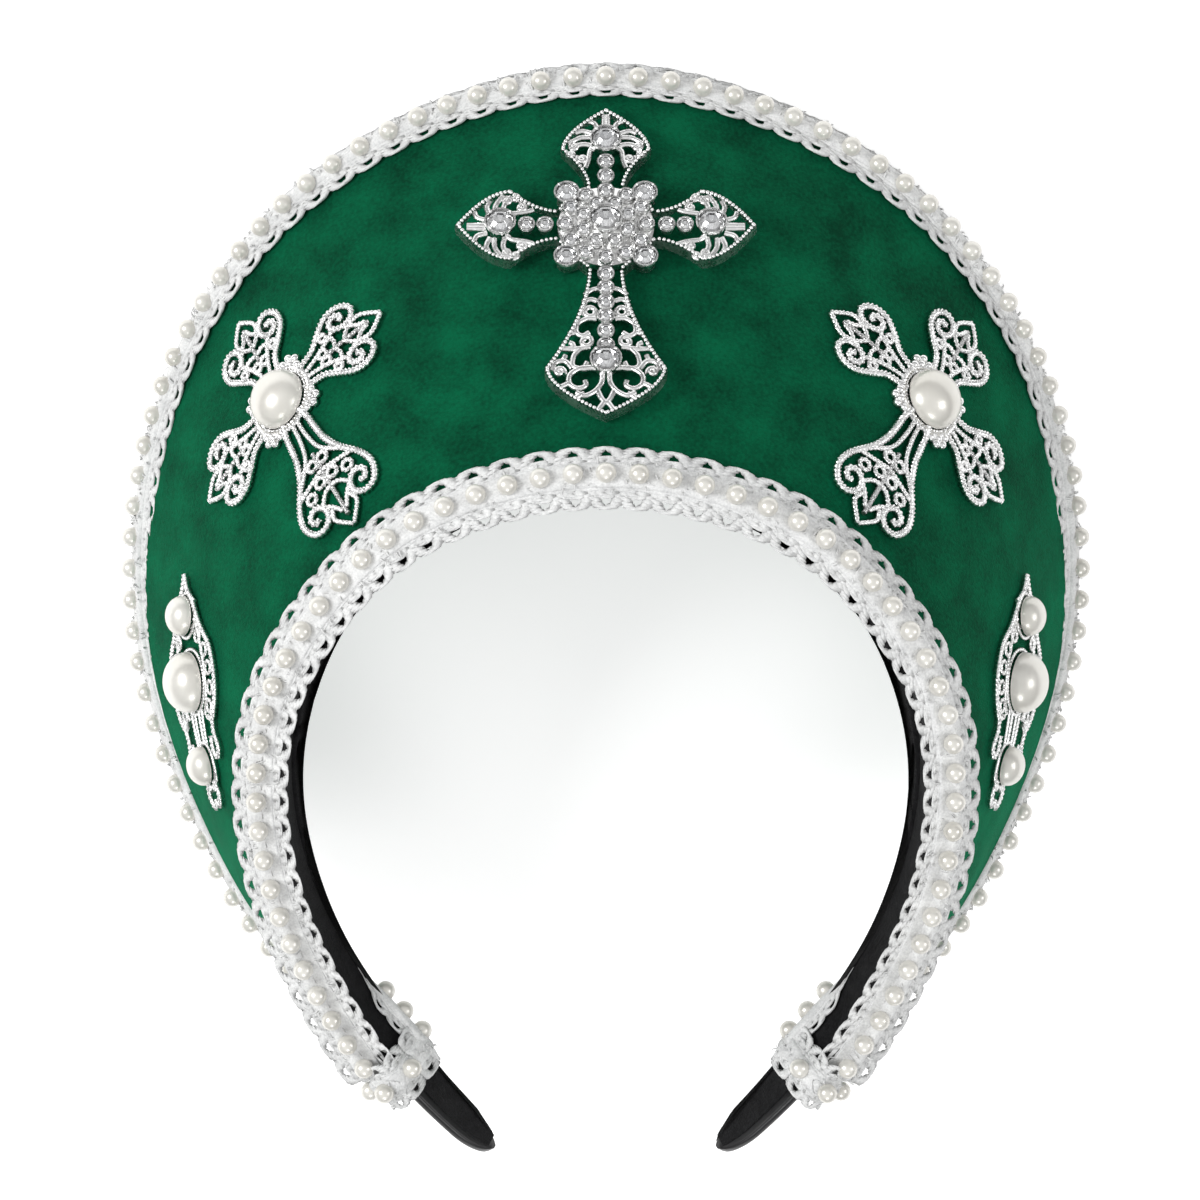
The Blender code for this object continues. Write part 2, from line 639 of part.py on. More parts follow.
def lay_down(pose):
    """Turns the hood on to its back until the crown and the sides of the rim touch the table."""
    corners = [corner.co for item in pose.children for corner in item.data.vertices]
    crown = [corner for corner in corners if corner.z > CROWN_FROM * MM]
    sides = [corner for corner in corners if corner.z < SIDES_BELOW * MM]

    def lowest(group, angle):
        return min(-spot.y * math.cos(angle) - spot.z * math.sin(angle) for spot in group)

    less, more = 0.0, STEEPEST_TILT
    for _ in range(TILT_TRIES):
        tilt = (less + more) / 2
        if lowest(crown, tilt) > lowest(sides, tilt):
            less = tilt
        else:
            more = tilt
    turn = Matrix.Rotation(-math.pi / 2 - tilt, 4, "X")
    turned_corners = [turn @ corner for corner in corners]
    low = [min(spot[axis] for spot in turned_corners) for axis in range(3)]
    high = [max(spot[axis] for spot in turned_corners) for axis in range(3)]
    pose.rotation_euler = (-math.pi / 2 - tilt, 0, 0)
    pose.location = (-(low[0] + high[0]) / 2, -(low[1] + high[1]) / 2, -low[2])
    print(f"lies back {math.degrees(tilt):.2f} degrees, moved by", tuple(round(v, 5) for v in pose.location))


def build():
    for leftover in list(bpy.data.objects):
        bpy.data.objects.remove(leftover)
    pose = bpy.data.objects.new("lying_pose", None)
    bpy.context.scene.collection.objects.link(pose)
    make_crescent(pose)
    make_headband(pose)
    make_wraps(pose)
    beaded_braid("outer_trim", EDGE_PEARLS_OUTER, OUTER_BRAID, rim_braid_point, pose)
    beaded_braid("inner_trim", EDGE_PEARLS_INNER, INNER_BRAID, edge_braid_point, pose)
    make_centre_cross(pose)
    make_filigree_crosses(pose)
    make_brooches(pose)
    lay_down(pose)


build()
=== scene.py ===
# %% [markdown]
# # A French hood of velvet, looped braid, pearls and pierced crosses
#
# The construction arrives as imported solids. This lesson keeps their places and sizes and gives
# every one of them the surface of the real thing: napped cloth, twisted cord, lustre and cut glass.

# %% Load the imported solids
import math
import random
from collections import namedtuple

import bmesh
import bpy
import numpy as np
from mathutils import Matrix, Vector


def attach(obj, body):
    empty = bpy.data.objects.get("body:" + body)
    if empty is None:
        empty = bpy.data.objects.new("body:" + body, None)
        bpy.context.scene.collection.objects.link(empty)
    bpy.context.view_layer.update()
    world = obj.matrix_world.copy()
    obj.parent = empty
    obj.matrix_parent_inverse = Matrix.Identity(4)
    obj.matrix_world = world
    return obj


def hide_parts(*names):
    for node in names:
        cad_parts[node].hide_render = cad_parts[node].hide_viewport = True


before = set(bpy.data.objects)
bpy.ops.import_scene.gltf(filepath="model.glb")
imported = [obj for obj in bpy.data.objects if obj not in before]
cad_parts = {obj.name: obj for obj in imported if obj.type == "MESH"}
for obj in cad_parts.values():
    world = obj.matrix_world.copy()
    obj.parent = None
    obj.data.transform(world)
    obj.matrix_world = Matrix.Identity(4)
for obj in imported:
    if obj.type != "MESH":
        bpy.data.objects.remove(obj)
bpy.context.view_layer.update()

# %% [markdown]
# ## The curves that everything follows
#
# On the real hood both braids are sewn along the cut edges of the cloth, and the cloth is stretched
# straight between them. So two curves and the surface between them place every other piece. They
# could be read off the solids, but short tables of a few sections, joined by smooth curves, give a
# finer surface and stay easy to read. Sizes are millimetres as the hood is worn and seen from the
# front: x to the right, back away from the viewer, height up.

# %% Sections of the hood, one for each eighth of the way from the crown to the horn
MM = 0.001
Row = namedtuple("Row", "edge_x edge_drop rim_x rim_height rim_back")
ROWS = (
    Row(0.0, 0.0, 0.0, 86.0, 52.0),
    Row(22.0, 3.3, 35.0, 79.5, 56.0),
    Row(42.5, 13.0, 66.0, 61.5, 62.0),
    Row(58.0, 29.0, 88.0, 34.0, 70.5),
    Row(68.5, 49.0, 99.5, 1.0, 79.0),
    Row(71.5, 71.0, 100.0, -34.5, 84.0),
    Row(68.5, 93.5, 89.0, -69.0, 82.0),
    Row(60.5, 114.5, 70.0, -99.0, 75.0),
    Row(49.5, 134.0, 42.0, -115.5, 62.0),
)
BAND_END_ROWS = ((36.0, 151.5), (20.5, 167.0))
STEPS = len(ROWS) - 1
LEAN = math.radians(22)
LYING_TILT = math.radians(16.33)
LYING_SHIFT = (0.0, 42.33, 78.78)
WALL = 3.0
INNER_MARGIN, RIM_MARGIN = 2.0, 2.6
BOW, FULL_BOW_LENGTH = 1.0, 60.0
RUN_STEP, FACE_STEP, LAST_SQUARE_SHARE = 0.004, 0.01, 0.995


def between(before, start, end, after, t):
    """Smooth way from start to end, led by the values before and after them."""
    return ((2 * t**3 - 3 * t**2 + 1) * start + (t**3 - 2 * t**2 + t) * (end - before) / 2
            + (3 * t**2 - 2 * t**3) * end + (t**3 - t**2) * (after - start) / 2)


def along_rows(values, share, mirror):
    """Smooth values of one column at shares of the way down the sides, 0 at the crown."""
    place = np.abs(share) * STEPS
    low = np.clip(place.astype(int), 0, len(values) - 2)
    padded = np.array([mirror * values[1], *values, 2 * values[-1] - values[-2]])
    return between(*(padded[low + step] for step in range(4)), place - low)


def edge(share):
    """Front edge of the hood, where the inner pearls run; past 1 it is the band's free end."""
    across = along_rows([row.edge_x for row in ROWS] + [row[0] for row in BAND_END_ROWS], share, -1)
    drop = along_rows([row.edge_drop for row in ROWS] + [row[1] for row in BAND_END_ROWS], share, 1)
    return np.stack([np.sign(share) * across, drop * math.sin(LEAN), -drop * math.cos(LEAN)], -1)


def rim(share):
    """Outer edge of the hood, where the outer pearls run."""
    across = along_rows([row.rim_x for row in ROWS], share, -1)
    height = along_rows([row.rim_height for row in ROWS], share, 1)
    back = along_rows([row.rim_back for row in ROWS], share, 1)
    return np.stack([np.sign(share) * across, back, height], -1)


def unit(vectors):
    return vectors / np.linalg.norm(vectors, axis=-1, keepdims=True)


def section_frame(share, curve):
    """Direction from edge to rim and the outward normal, square to the curve."""
    square = np.clip(share, -LAST_SQUARE_SHARE, LAST_SQUARE_SHARE)
    run = unit(curve(square + RUN_STEP) - curve(square - RUN_STEP))
    held = np.clip(share, -1, 1)
    out = rim(held) - edge(held)
    out = unit(out - run * np.sum(out * run, -1, keepdims=True))
    return out, np.cross(run, out)


def face(share, part, high=0.0):
    """Point on the cloth's face, part 0 at its inner edge and 1 at the rim."""
    part = np.asarray(part, float)[..., None]
    inner_out, inner_normal = section_frame(share, edge)
    outer_out, outer_normal = section_frame(share, rim)
    inner = edge(share) + inner_out * INNER_MARGIN
    outer = rim(share) - outer_out * RIM_MARGIN
    normal = unit(inner_normal * (1 - part) + outer_normal * part)
    length = np.linalg.norm(outer - inner, axis=-1, keepdims=True)
    bow = BOW * 4 * part * (1 - part) * np.minimum(1, length / FULL_BOW_LENGTH) ** 2
    return inner * (1 - part) + outer * part + normal * (np.asarray(high, float)[..., None] + bow)


def laid_down(points):
    """Worn millimetres to metres in the frame, where the hood lies on its back."""
    x, back, height = np.moveaxis(points, -1, 0)
    sine, cosine = math.sin(LYING_TILT), math.cos(LYING_TILT)
    return np.stack([x + LYING_SHIFT[0], height * cosine - back * sine + LYING_SHIFT[1],
                     -back * cosine - height * sine + LYING_SHIFT[2]], -1) * MM


check = laid_down(face(np.linspace(-0.985, 0.985, 45), np.zeros(45)))

# %% [markdown]
# ## Camera, floor and light
#
# The hood was looked at straight from the front, from about a metre. Here it lies on its back, so
# the same view comes from nearly overhead. A wide soft light on the left and a weaker one on the
# right make the nap brighter on the left, and the pale floor melts into a pale surround.

# %% Camera
CAMERA_AT = (-1.2, -1000.0, -24.4)
CAMERA_LENS, SENSOR = 150.0, 36.0
scene = bpy.context.scene
scene.view_settings.view_transform = "Standard"
camera = bpy.data.objects.new("camera", bpy.data.cameras.new("camera"))
scene.collection.objects.link(camera)
scene.camera = camera
camera.data.lens = CAMERA_LENS
camera.data.sensor_width = SENSOR
camera.data.clip_start = 0.01
camera.location = laid_down(np.array([CAMERA_AT]))[0]
# Straight down, leaned back by the tilt at which the hood lies
camera.rotation_euler = (-LYING_TILT, 0, 0)
print("camera at", [round(v, 3) for v in camera.location])

# %% Floor
FLOOR_HALF_WIDTH, FLOOR_DROP = 3.0, 0.0005
FLOOR_SETTINGS = {"Base Color": (0.85, 0.85, 0.85, 1), "Emission Color": (1, 1, 1, 1),
                  "Emission Strength": 0.42, "Roughness": 0.9}
floor_mesh = bmesh.new()
bmesh.ops.create_grid(floor_mesh, x_segments=1, y_segments=1, size=FLOOR_HALF_WIDTH)
floor_data = bpy.data.meshes.new("floor")
floor_mesh.to_mesh(floor_data)
floor_mesh.free()
floor = bpy.data.objects.new("floor", floor_data)
scene.collection.objects.link(floor)
floor.location.z = -FLOOR_DROP
paint = bpy.data.materials.new("floor_paint")
paint.use_nodes = True
for setting, value in FLOOR_SETTINGS.items():
    paint.node_tree.nodes["Principled BSDF"].inputs[setting].default_value = value
floor_data.materials.append(paint)
print("floor", 2 * FLOOR_HALF_WIDTH, "m wide")

# %% Lights and surround
Lamp = namedtuple("Lamp", "name x y z size watts")
LAMPS = (
    Lamp("left_softbox", -0.75, 0.35, 0.75, 0.40, 7.0),
    Lamp("right_softbox", 0.85, 0.10, 0.70, 0.40, 2.2),
    Lamp("front_softbox", 0.05, -0.70, 0.80, 0.35, 2.0),
)
LAMPS_AIM_AT = (0, 0, 0.05)
SKY_STOPS, SKY_STRENGTH = ((0.12, 0.18), (0.72, 0.95)), 0.78
for lamp in LAMPS:
    light = bpy.data.lights.new(lamp.name, "AREA")
    light.size = lamp.size
    light.energy = lamp.watts
    holder = bpy.data.objects.new(lamp.name, light)
    scene.collection.objects.link(holder)
    holder.location = (lamp.x, lamp.y, lamp.z)
    holder.rotation_euler = (Vector(LAMPS_AIM_AT) - holder.location).to_track_quat("-Z", "Y").to_euler()
world = bpy.data.worlds.new("pale_surround")
world.use_nodes = True
sky, sky_links = world.node_tree.nodes, world.node_tree.links
direction, parted, shade = (sky.new("ShaderNode" + kind) for kind in ("TexCoord", "SeparateXYZ", "ValToRGB"))
for stop, (height, grey) in enumerate(SKY_STOPS):
    shade.color_ramp.elements[stop].position = height
    shade.color_ramp.elements[stop].color = (grey, grey, grey, 1)
sky_links.new(direction.outputs["Generated"], parted.inputs["Vector"])
sky_links.new(parted.outputs["Z"], shade.inputs["Fac"])
sky_links.new(shade.outputs["Color"], sky["Background"].inputs["Color"])
sky["Background"].inputs["Strength"].default_value = SKY_STRENGTH
scene.world = world
print(len(LAMPS), "lamps under a pale surround")

# %% [markdown]
# ## Effects that several finishes share
#
# Nap, cord, lustre and tarnish all need a colour that drifts a little and a surface that isn't quite
# smooth. Each of the two effects is built once as a node group with named inputs, and every material
# places it with values of its own. A painted picture could do the same, but it would need unwrapping.

# %% Two shared node groups
def socket(group, name, kind, way, value=None):
    item = group.interface.new_socket(name=name, socket_type=kind, in_out=way)
    if value is not None:
        item.default_value = value


def drifting_colour_group():
    """Colour that wanders between two tints, in patches and in fine specks."""
    group = bpy.data.node_groups.new("drifting_colour", "ShaderNodeTree")
    socket(group, "Vector", "NodeSocketVector", "INPUT")
    socket(group, "Dark", "NodeSocketColor", "INPUT", (0, 0, 0, 1))
    socket(group, "Light", "NodeSocketColor", "INPUT", (1, 1, 1, 1))
    for name, value in (("Patch Scale", 40.0), ("Speck Scale", 900.0), ("Speck Share", 0.35), ("From", 0.32),
                        ("To", 0.68)):
        socket(group, name, "NodeSocketFloat", "INPUT", value)
    socket(group, "Colour", "NodeSocketColor", "OUTPUT")
    socket(group, "Mask", "NodeSocketFloat", "OUTPUT")
    nodes, links = group.nodes, group.links
    into, outof = nodes.new("NodeGroupInput"), nodes.new("NodeGroupOutput")
    patch, speck = nodes.new("ShaderNodeTexNoise"), nodes.new("ShaderNodeTexNoise")
    blend = nodes.new("ShaderNodeMix")
    ramp = nodes.new("ShaderNodeMapRange")
    tint = nodes.new("ShaderNodeMix")
    tint.data_type = "RGBA"
    patch.inputs["Detail"].default_value = 5.0
    speck.inputs["Detail"].default_value = 2.0
    for giver, given, taker, taken in (
            (into, "Vector", patch, "Vector"), (into, "Vector", speck, "Vector"),
            (into, "Patch Scale", patch, "Scale"), (into, "Speck Scale", speck, "Scale"),
            (into, "Speck Share", blend, "Factor"), (patch, "Fac", blend, "A"), (speck, "Fac", blend, "B"),
            (blend, "Result", ramp, "Value"), (into, "From", ramp, "From Min"),
            (into, "To", ramp, "From Max"), (ramp, "Result", tint, "Factor"),
            (into, "Dark", tint, "A"), (into, "Light", tint, "B"), (tint, "Result", outof, "Colour"),
            (ramp, "Result", outof, "Mask")):
        links.new(giver.outputs[given], taker.inputs[taken])
    return group


def fine_relief_group():
    """Height of a fibrous or hammered surface, from long and short noise."""
    group = bpy.data.node_groups.new("fine_relief", "ShaderNodeTree")
    socket(group, "Vector", "NodeSocketVector", "INPUT")
    socket(group, "Coarse Scale", "NodeSocketFloat", "INPUT", 500.0)
    socket(group, "Fine Scale", "NodeSocketFloat", "INPUT", 2500.0)
    socket(group, "Height", "NodeSocketFloat", "OUTPUT")
    nodes, links = group.nodes, group.links
    into, outof = nodes.new("NodeGroupInput"), nodes.new("NodeGroupOutput")
    coarse, fine = nodes.new("ShaderNodeTexNoise"), nodes.new("ShaderNodeTexNoise")
    total = nodes.new("ShaderNodeMath")
    links.new(into.outputs["Vector"], coarse.inputs["Vector"])
    links.new(into.outputs["Vector"], fine.inputs["Vector"])
    links.new(into.outputs["Coarse Scale"], coarse.inputs["Scale"])
    links.new(into.outputs["Fine Scale"], fine.inputs["Scale"])
    links.new(coarse.outputs["Fac"], total.inputs[0])
    links.new(fine.outputs["Fac"], total.inputs[1])
    links.new(total.outputs["Value"], outof.inputs["Height"])
    return group


DRIFT = drifting_colour_group()
RELIEF = fine_relief_group()
print("groups:", DRIFT.name, "and", RELIEF.name)

# %% [markdown]
# ## The finishes
#
# Each finish is one Principled shader. What changes over the surface comes from the groups, and what
# is the same all over, such as sheen, coat and how glass bends light, is set on the shader itself.

# %% One function makes a finish from its row of values
Finish = namedtuple("Finish", "dark light patch speck share spread rough coarse fine depth settings")
FINISHES = {
    "velvet": Finish((0.0004, 0.036, 0.016), (0.0016, 0.108, 0.046), 85, 1300, 0.38, 0.16, (0.85, 0.95), 220,
                     3400, 0.30, {"Sheen Weight": 0.35, "Sheen Roughness": 0.35, "Specular IOR Level": 0.05,
                                  "Sheen Tint": (0.03, 0.60, 0.28, 1)}),
    "cord": Finish((0.59, 0.595, 0.595), (0.83, 0.835, 0.83), 260, 2200, 0.5, 0.15, (0.75, 0.9), 1600, 5200,
                   0.20, {"Sheen Weight": 0.1, "Specular IOR Level": 0.3}),
    "pearl": Finish((0.66, 0.64, 0.585), (0.78, 0.765, 0.72), 70, 500, 0.15, 0.2, (0.27, 0.35), 200, 900,
                    0.02, {"Metallic": 0.32, "Coat Weight": 0.3, "Coat Roughness": 0.14,
                           "Specular IOR Level": 0.5}),
    "silver": Finish((0.74, 0.74, 0.735), (0.97, 0.97, 0.965), 240, 1500, 0.45, 0.18, (0.20, 0.36), 1000,
                     3200, 0.04, {"Metallic": 1.0}),
    "glass": Finish((0.92, 0.93, 0.95), (0.99, 0.99, 0.99), 200, 900, 0.2, 0.2, (0.0, 0.02), 300, 900,
                    0.0, {"Transmission Weight": 1.0, "IOR": 1.6}),
    "foil": Finish((0.78, 0.78, 0.78), (1.0, 1.0, 0.99), 260, 1400, 0.3, 0.20, (0.02, 0.06), 500, 1500,
                   0.0, {"Metallic": 1.0}),
    "satin": Finish((0.0015, 0.0015, 0.002), (0.006, 0.006, 0.007), 120, 1400, 0.4, 0.18, (0.28, 0.40), 800,
                    4000, 0.05, {"Sheen Weight": 0.03, "Specular IOR Level": 0.45}),
    "felt": Finish((0.001, 0.001, 0.0015), (0.012, 0.012, 0.013), 420, 2400, 0.55, 0.12, (0.85, 0.98), 900,
                   4200, 0.45, {"Sheen Weight": 0.06, "Specular IOR Level": 0.2}),
}
NOISE_MIDDLE, BUMP_STRENGTH = 0.5, 0.6


def make_finish(name):
    """Material of one finish, on the piece's own coordinates."""
    row = FINISHES[name]
    material = bpy.data.materials.new(name)
    material.use_nodes = True
    nodes, links = material.node_tree.nodes, material.node_tree.links
    shader = nodes["Principled BSDF"]
    place = nodes.new("ShaderNodeTexCoord")
    drift, relief = nodes.new("ShaderNodeGroup"), nodes.new("ShaderNodeGroup")
    drift.node_tree, relief.node_tree = DRIFT, RELIEF
    links.new(place.outputs["Object"], drift.inputs["Vector"])
    links.new(place.outputs["Object"], relief.inputs["Vector"])
    for label, value in (("Dark", (*row.dark, 1)), ("Light", (*row.light, 1)), ("Patch Scale", row.patch),
                         ("Speck Scale", row.speck), ("Speck Share", row.share),
                         ("From", NOISE_MIDDLE - row.spread), ("To", NOISE_MIDDLE + row.spread)):
        drift.inputs[label].default_value = value
    links.new(drift.outputs["Colour"], shader.inputs["Base Color"])
    gloss = nodes.new("ShaderNodeMapRange")
    gloss.inputs["To Min"].default_value, gloss.inputs["To Max"].default_value = row.rough
    links.new(drift.outputs["Mask"], gloss.inputs["Value"])
    links.new(gloss.outputs["Result"], shader.inputs["Roughness"])
    if row.depth:
        relief.inputs["Coarse Scale"].default_value = row.coarse
        relief.inputs["Fine Scale"].default_value = row.fine
        bump = nodes.new("ShaderNodeBump")
        bump.inputs["Strength"].default_value = BUMP_STRENGTH
        bump.inputs["Distance"].default_value = row.depth * MM
        links.new(relief.outputs["Height"], bump.inputs["Height"])
        links.new(bump.outputs["Normal"], shader.inputs["Normal"])
    for setting, value in row.settings.items():
        shader.inputs[setting].default_value = value
    return material


FINISH = {name: make_finish(name) for name in FINISHES}
print("finishes:", ", ".join(FINISH))

# %% [markdown]
# ## Bending a flat piece to its place
#
# Cloth, ribbon and lace are all made flat and then bent. So each of these pieces is modelled flat,
# with Blender's own operators, and one helper then carries every corner to its place. It also gives
# the piece its finish, hides the solid that it stands for and lets it ride with the hood.

# %% Helpers to bend, finish and name a piece
FLOOR_CLEARANCE = 0.0001


def bent(sketch, place):
    """Carries a flat drawing in millimetres to its place; place takes and gives rows of points."""
    flat = np.array([corner.co[:] for corner in sketch.verts])
    for corner, spot in zip(sketch.verts, place(flat)):
        corner.co = spot


def raise_pulled(sketch, pulled, height):
    """Lifts the corners that an extrusion has just made."""
    corners = [item for item in pulled["geom"] if isinstance(item, bmesh.types.BMVert)]
    bmesh.ops.translate(sketch, vec=(0, 0, height), verts=corners)


def finished(name, sketch, finish, replaced=(), smooth=60.0, soft=False, place=None):
    """Turns a drawing into a piece of the hood; soft pieces flatten where they rest."""
    if place:
        bent(sketch, place)
    if soft:
        for corner in sketch.verts:
            corner.co.z = max(corner.co.z, FLOOR_CLEARANCE)
    mesh = bpy.data.meshes.new(name)
    sketch.to_mesh(mesh)
    sketch.free()
    mesh.shade_smooth()
    mesh.set_sharp_from_angle(angle=math.radians(smooth))
    mesh.materials.append(FINISH[finish])
    piece = bpy.data.objects.new(name, mesh)
    bpy.context.scene.collection.objects.link(piece)
    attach(piece, "root")
    if replaced:
        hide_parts(*replaced)
    print(name, len(mesh.polygons), "faces")


# %% [markdown]
# ## The velvet crescent
#
# On the real hood velvet is drawn over a stiff board. It is modelled as a flat grid, given its
# thickness by an extrusion, and bent so that it runs straight from edge to rim. The cloth pulls
# into faint folds towards the horns, where it is cut narrowest.

# %% Velvet
CLOTH_CELLS = (300, 48)
CLOTH_END = 0.985
FOLD_DEPTH, FOLD_COUNT, FOLD_SLANT, FOLDS_FROM = 0.28, 9.0, 4, 0.55
SLACK_DEPTH, SLACK_COUNT, SLACK_SLANT = 0.10, 23, 5


def velvet_place(flat):
    share, part = flat[:, 0] * 2 * CLOTH_END, flat[:, 1] + 0.5
    low = np.clip((np.abs(share) - FOLDS_FROM) / (1 - FOLDS_FROM), 0, 1)
    fold = FOLD_DEPTH * low * np.sin(part * FOLD_COUNT + share * FOLD_SLANT) * np.sin(math.pi * part)
    slack = SLACK_DEPTH * np.sin(share * SLACK_COUNT + part * SLACK_SLANT) * np.sin(math.pi * part)
    return laid_down(face(share, part, fold + slack - flat[:, 2]))


velvet = bmesh.new()
bmesh.ops.create_grid(velvet, x_segments=CLOTH_CELLS[0], y_segments=CLOTH_CELLS[1], size=0.5)
raise_pulled(velvet, bmesh.ops.extrude_face_region(velvet, geom=velvet.faces[:]), WALL)
bent(velvet, velvet_place)
bmesh.ops.recalc_face_normals(velvet, faces=velvet.faces)
finished("velvet_crescent", velvet, "velvet", ["crescent"], soft=True)

# %% [markdown]
# ## The band
#
# The band is a springy strip covered in black ribbon, with a woven strip glued along its inside.
# It is a bar with rounded edges, cut across many times so that it can bend, then bent to the curve.

# %% Headband
BAND_WIDTH, BAND_THICKNESS, BAND_TIP = 11.0, 2.3, 1.18
BAND_TAPER_FROM, BAND_TAPER, BAND_DRIFT = 0.9, 0.38, 1.4
BAND_ROUND_END, BAND_END_WIDTH = 0.055, 0.14
TOE_IN = math.radians(32)
BAND_GAP = 0.4
BAND_CUTS, BAND_ROUNDING, ROUNDING_STEPS = 260, 0.85, 4
CROWDING = 0.25
LINING_WIDTH, LINING_THICKNESS, LINING_LIFT, LINING_SHIFT = 8.6, 0.45, 0.12, 1.35
LINING_ROUNDING, LINING_LENGTH_SHARE = 0.12, 0.985
RAGGED, RAGGED_STRIP = 0.18, 0.3


def band_frame(share):
    """Width direction of the band, its outward normal and its front edge."""
    run = unit(edge(share + RUN_STEP) - edge(share - RUN_STEP))
    axis = np.broadcast_to(np.array([0, math.cos(LEAN), math.sin(LEAN)]), run.shape)
    outward = np.cross(run, axis)
    turn = (TOE_IN * np.minimum(1, np.abs(share)) ** 2)[:, None]
    width = axis * np.cos(turn) - outward * np.sin(turn)
    square = outward * np.cos(turn) + axis * np.sin(turn)
    out, normal = section_frame(share, edge)
    depth = WALL * np.sum(normal * square, -1) - INNER_MARGIN * np.sum(out * square, -1) + BAND_GAP
    return width, square, edge(share) - square * depth[:, None]


def band_place(flat):
    """x along the band from -0.5 to 0.5, y across it in millimetres, z out from its inner face."""
    even = flat[:, 0] * 2
    share = even * (1 + CROWDING - CROWDING * even**2) * BAND_TIP
    width, outward, start = band_frame(share)
    past = np.maximum(0, np.abs(share) - BAND_TAPER_FROM) / (BAND_TIP - BAND_TAPER_FROM)
    left = np.clip((BAND_TIP - np.abs(share)) / BAND_ROUND_END, 0, 1)
    wide = (1 - BAND_TAPER * past) * np.maximum(BAND_END_WIDTH, np.sqrt(1 - (1 - left) ** 2))
    across = BAND_WIDTH / 2 + BAND_DRIFT * past + flat[:, 1] * wide
    return laid_down(start + width * across[:, None] + outward * (flat[:, 2] - BAND_THICKNESS)[:, None])


def long_edges(sketch):
    """Edges that run along a bar one unit long."""
    return [line for line in sketch.edges if abs(line.verts[0].co.x - line.verts[1].co.x) > 0.5]


def ribbon(width, low, high, cuts, rounding):
    """Flat bar one unit long with rounded long edges, cut across many times."""
    sketch = bmesh.new()
    bmesh.ops.create_cube(sketch, size=1.0)
    bmesh.ops.scale(sketch, vec=(1, width, high - low), verts=sketch.verts)
    bmesh.ops.translate(sketch, vec=(0, 0, (high + low) / 2), verts=sketch.verts)
    bmesh.ops.bevel(sketch, geom=long_edges(sketch), offset=rounding, segments=ROUNDING_STEPS, profile=0.5,
                    affect="EDGES", material=-1)
    bmesh.ops.subdivide_edges(sketch, edges=long_edges(sketch), cuts=cuts, use_grid_fill=True)
    bmesh.ops.recalc_face_normals(sketch, faces=sketch.faces)
    return sketch


band = ribbon(BAND_WIDTH, 0.0, BAND_THICKNESS, BAND_CUTS, BAND_ROUNDING)
finished("headband_ribbon", band, "satin", ["headband"], place=band_place)

# %% Woven strip along the inside of the band
lining = ribbon(LINING_WIDTH, LINING_LIFT - LINING_THICKNESS, LINING_LIFT, BAND_CUTS, LINING_ROUNDING)
shaker = random.Random(4)
for corner in lining.verts:
    at_side = abs(corner.co.y) > LINING_WIDTH / 2 - RAGGED_STRIP
    corner.co.y += (RAGGED * shaker.uniform(-1, 1) if at_side else 0.0) + LINING_SHIFT
    corner.co.x *= LINING_LENGTH_SHARE
finished("headband_lining", lining, "felt", place=band_place)

# %% [markdown]
# ## The looped braid
#
# The trim is a plaited core with a scallop of two twisted cords on both sides for every pearl. It is
# laid out flat and straight first: three strands that pass over and under each other, and loops of
# two plies each. Curves with a round bevel make strands well, because a strand is a line with a
# thickness. The flat lace is then bent round the edge of the cloth, along a short section table.

# %% Strands and loops, flat
PLAIT_REACH, PLAIT_LIFT, PLAIT_SWAY, PLAIT_STRAND = 1.75, 1.2, 0.30, 1.5
PLAIT_POINTS = 20
TAPE_WIDTH, TAPE_THICKNESS, TAPE_CELLS, TAPE_ROUNDING, TAPE_WAVE = 5.6, 1.35, 5, 0.55, 0.06
LOOP_FOOT, PLY, PLY_OFFSET, PLY_PITCH = 2.1, 0.46, 0.20, 1.8
Loop = namedtuple("Loop", "share reach lift points")
LOOPS = (Loop(0.84, 4.1, 0.55, 34), Loop(0.38, 1.9, 0.62, 20))
LOOP_TUCK, LOOP_RISE, LOOP_ROUNDNESS = math.radians(38), 0.25, 1.25
PEARL_RADIUS, PEARL_LIFT, PEARL_FACETS = 2.1, 2.6, (16, 10)
FIBRES, FIBRE_LENGTH, FIBRE = 9, 1.5, 0.10
FIBRE_FOOT, FIBRE_SPREAD, FIBRE_ARCH, FIBRE_THINS = 1.5, 2.7, 1.1, 0.6
FIBRE_PITCH = 7


def tubes(strokes, thickness, resolution, cyclic=False):
    """Round strands along strokes, each a list of rows x, y, z, share of the thickness."""
    guide = bpy.data.curves.new("strands", "CURVE")
    guide.dimensions = "3D"
    guide.bevel_depth = thickness / 2
    guide.bevel_resolution = resolution
    guide.use_fill_caps = not cyclic
    for stroke in strokes:
        stroke = np.asarray(stroke, float)
        line = guide.splines.new("POLY")
        line.points.add(len(stroke) - 1)
        line.points.foreach_set("co", np.column_stack([stroke[:, :3], np.ones(len(stroke))]).ravel())
        if stroke.shape[1] > 3:
            line.points.foreach_set("radius", stroke[:, 3])
        line.use_cyclic_u = cyclic
        line.use_smooth = True
    holder = bpy.data.objects.new("strands", guide)
    mesh = bpy.data.meshes.new_from_object(holder)
    sketch = bmesh.new()
    sketch.from_mesh(mesh)
    bpy.data.objects.remove(holder)
    bpy.data.curves.remove(guide)
    bpy.data.meshes.remove(mesh)
    return sketch


def plait(repeats):
    """Three strands crossing over and under, one crossing of each for every repeat."""
    turn = np.linspace(0, math.tau * repeats, repeats * PLAIT_POINTS + 1)
    along = turn / math.tau
    strands = []
    for strand in range(3):
        phase = math.tau * strand / 3
        strands.append(np.column_stack([along, PLAIT_REACH * np.sin(turn + phase),
                                        PLAIT_LIFT + PLAIT_SWAY * np.sin(2 * turn + 2 * phase)]))
    return strands


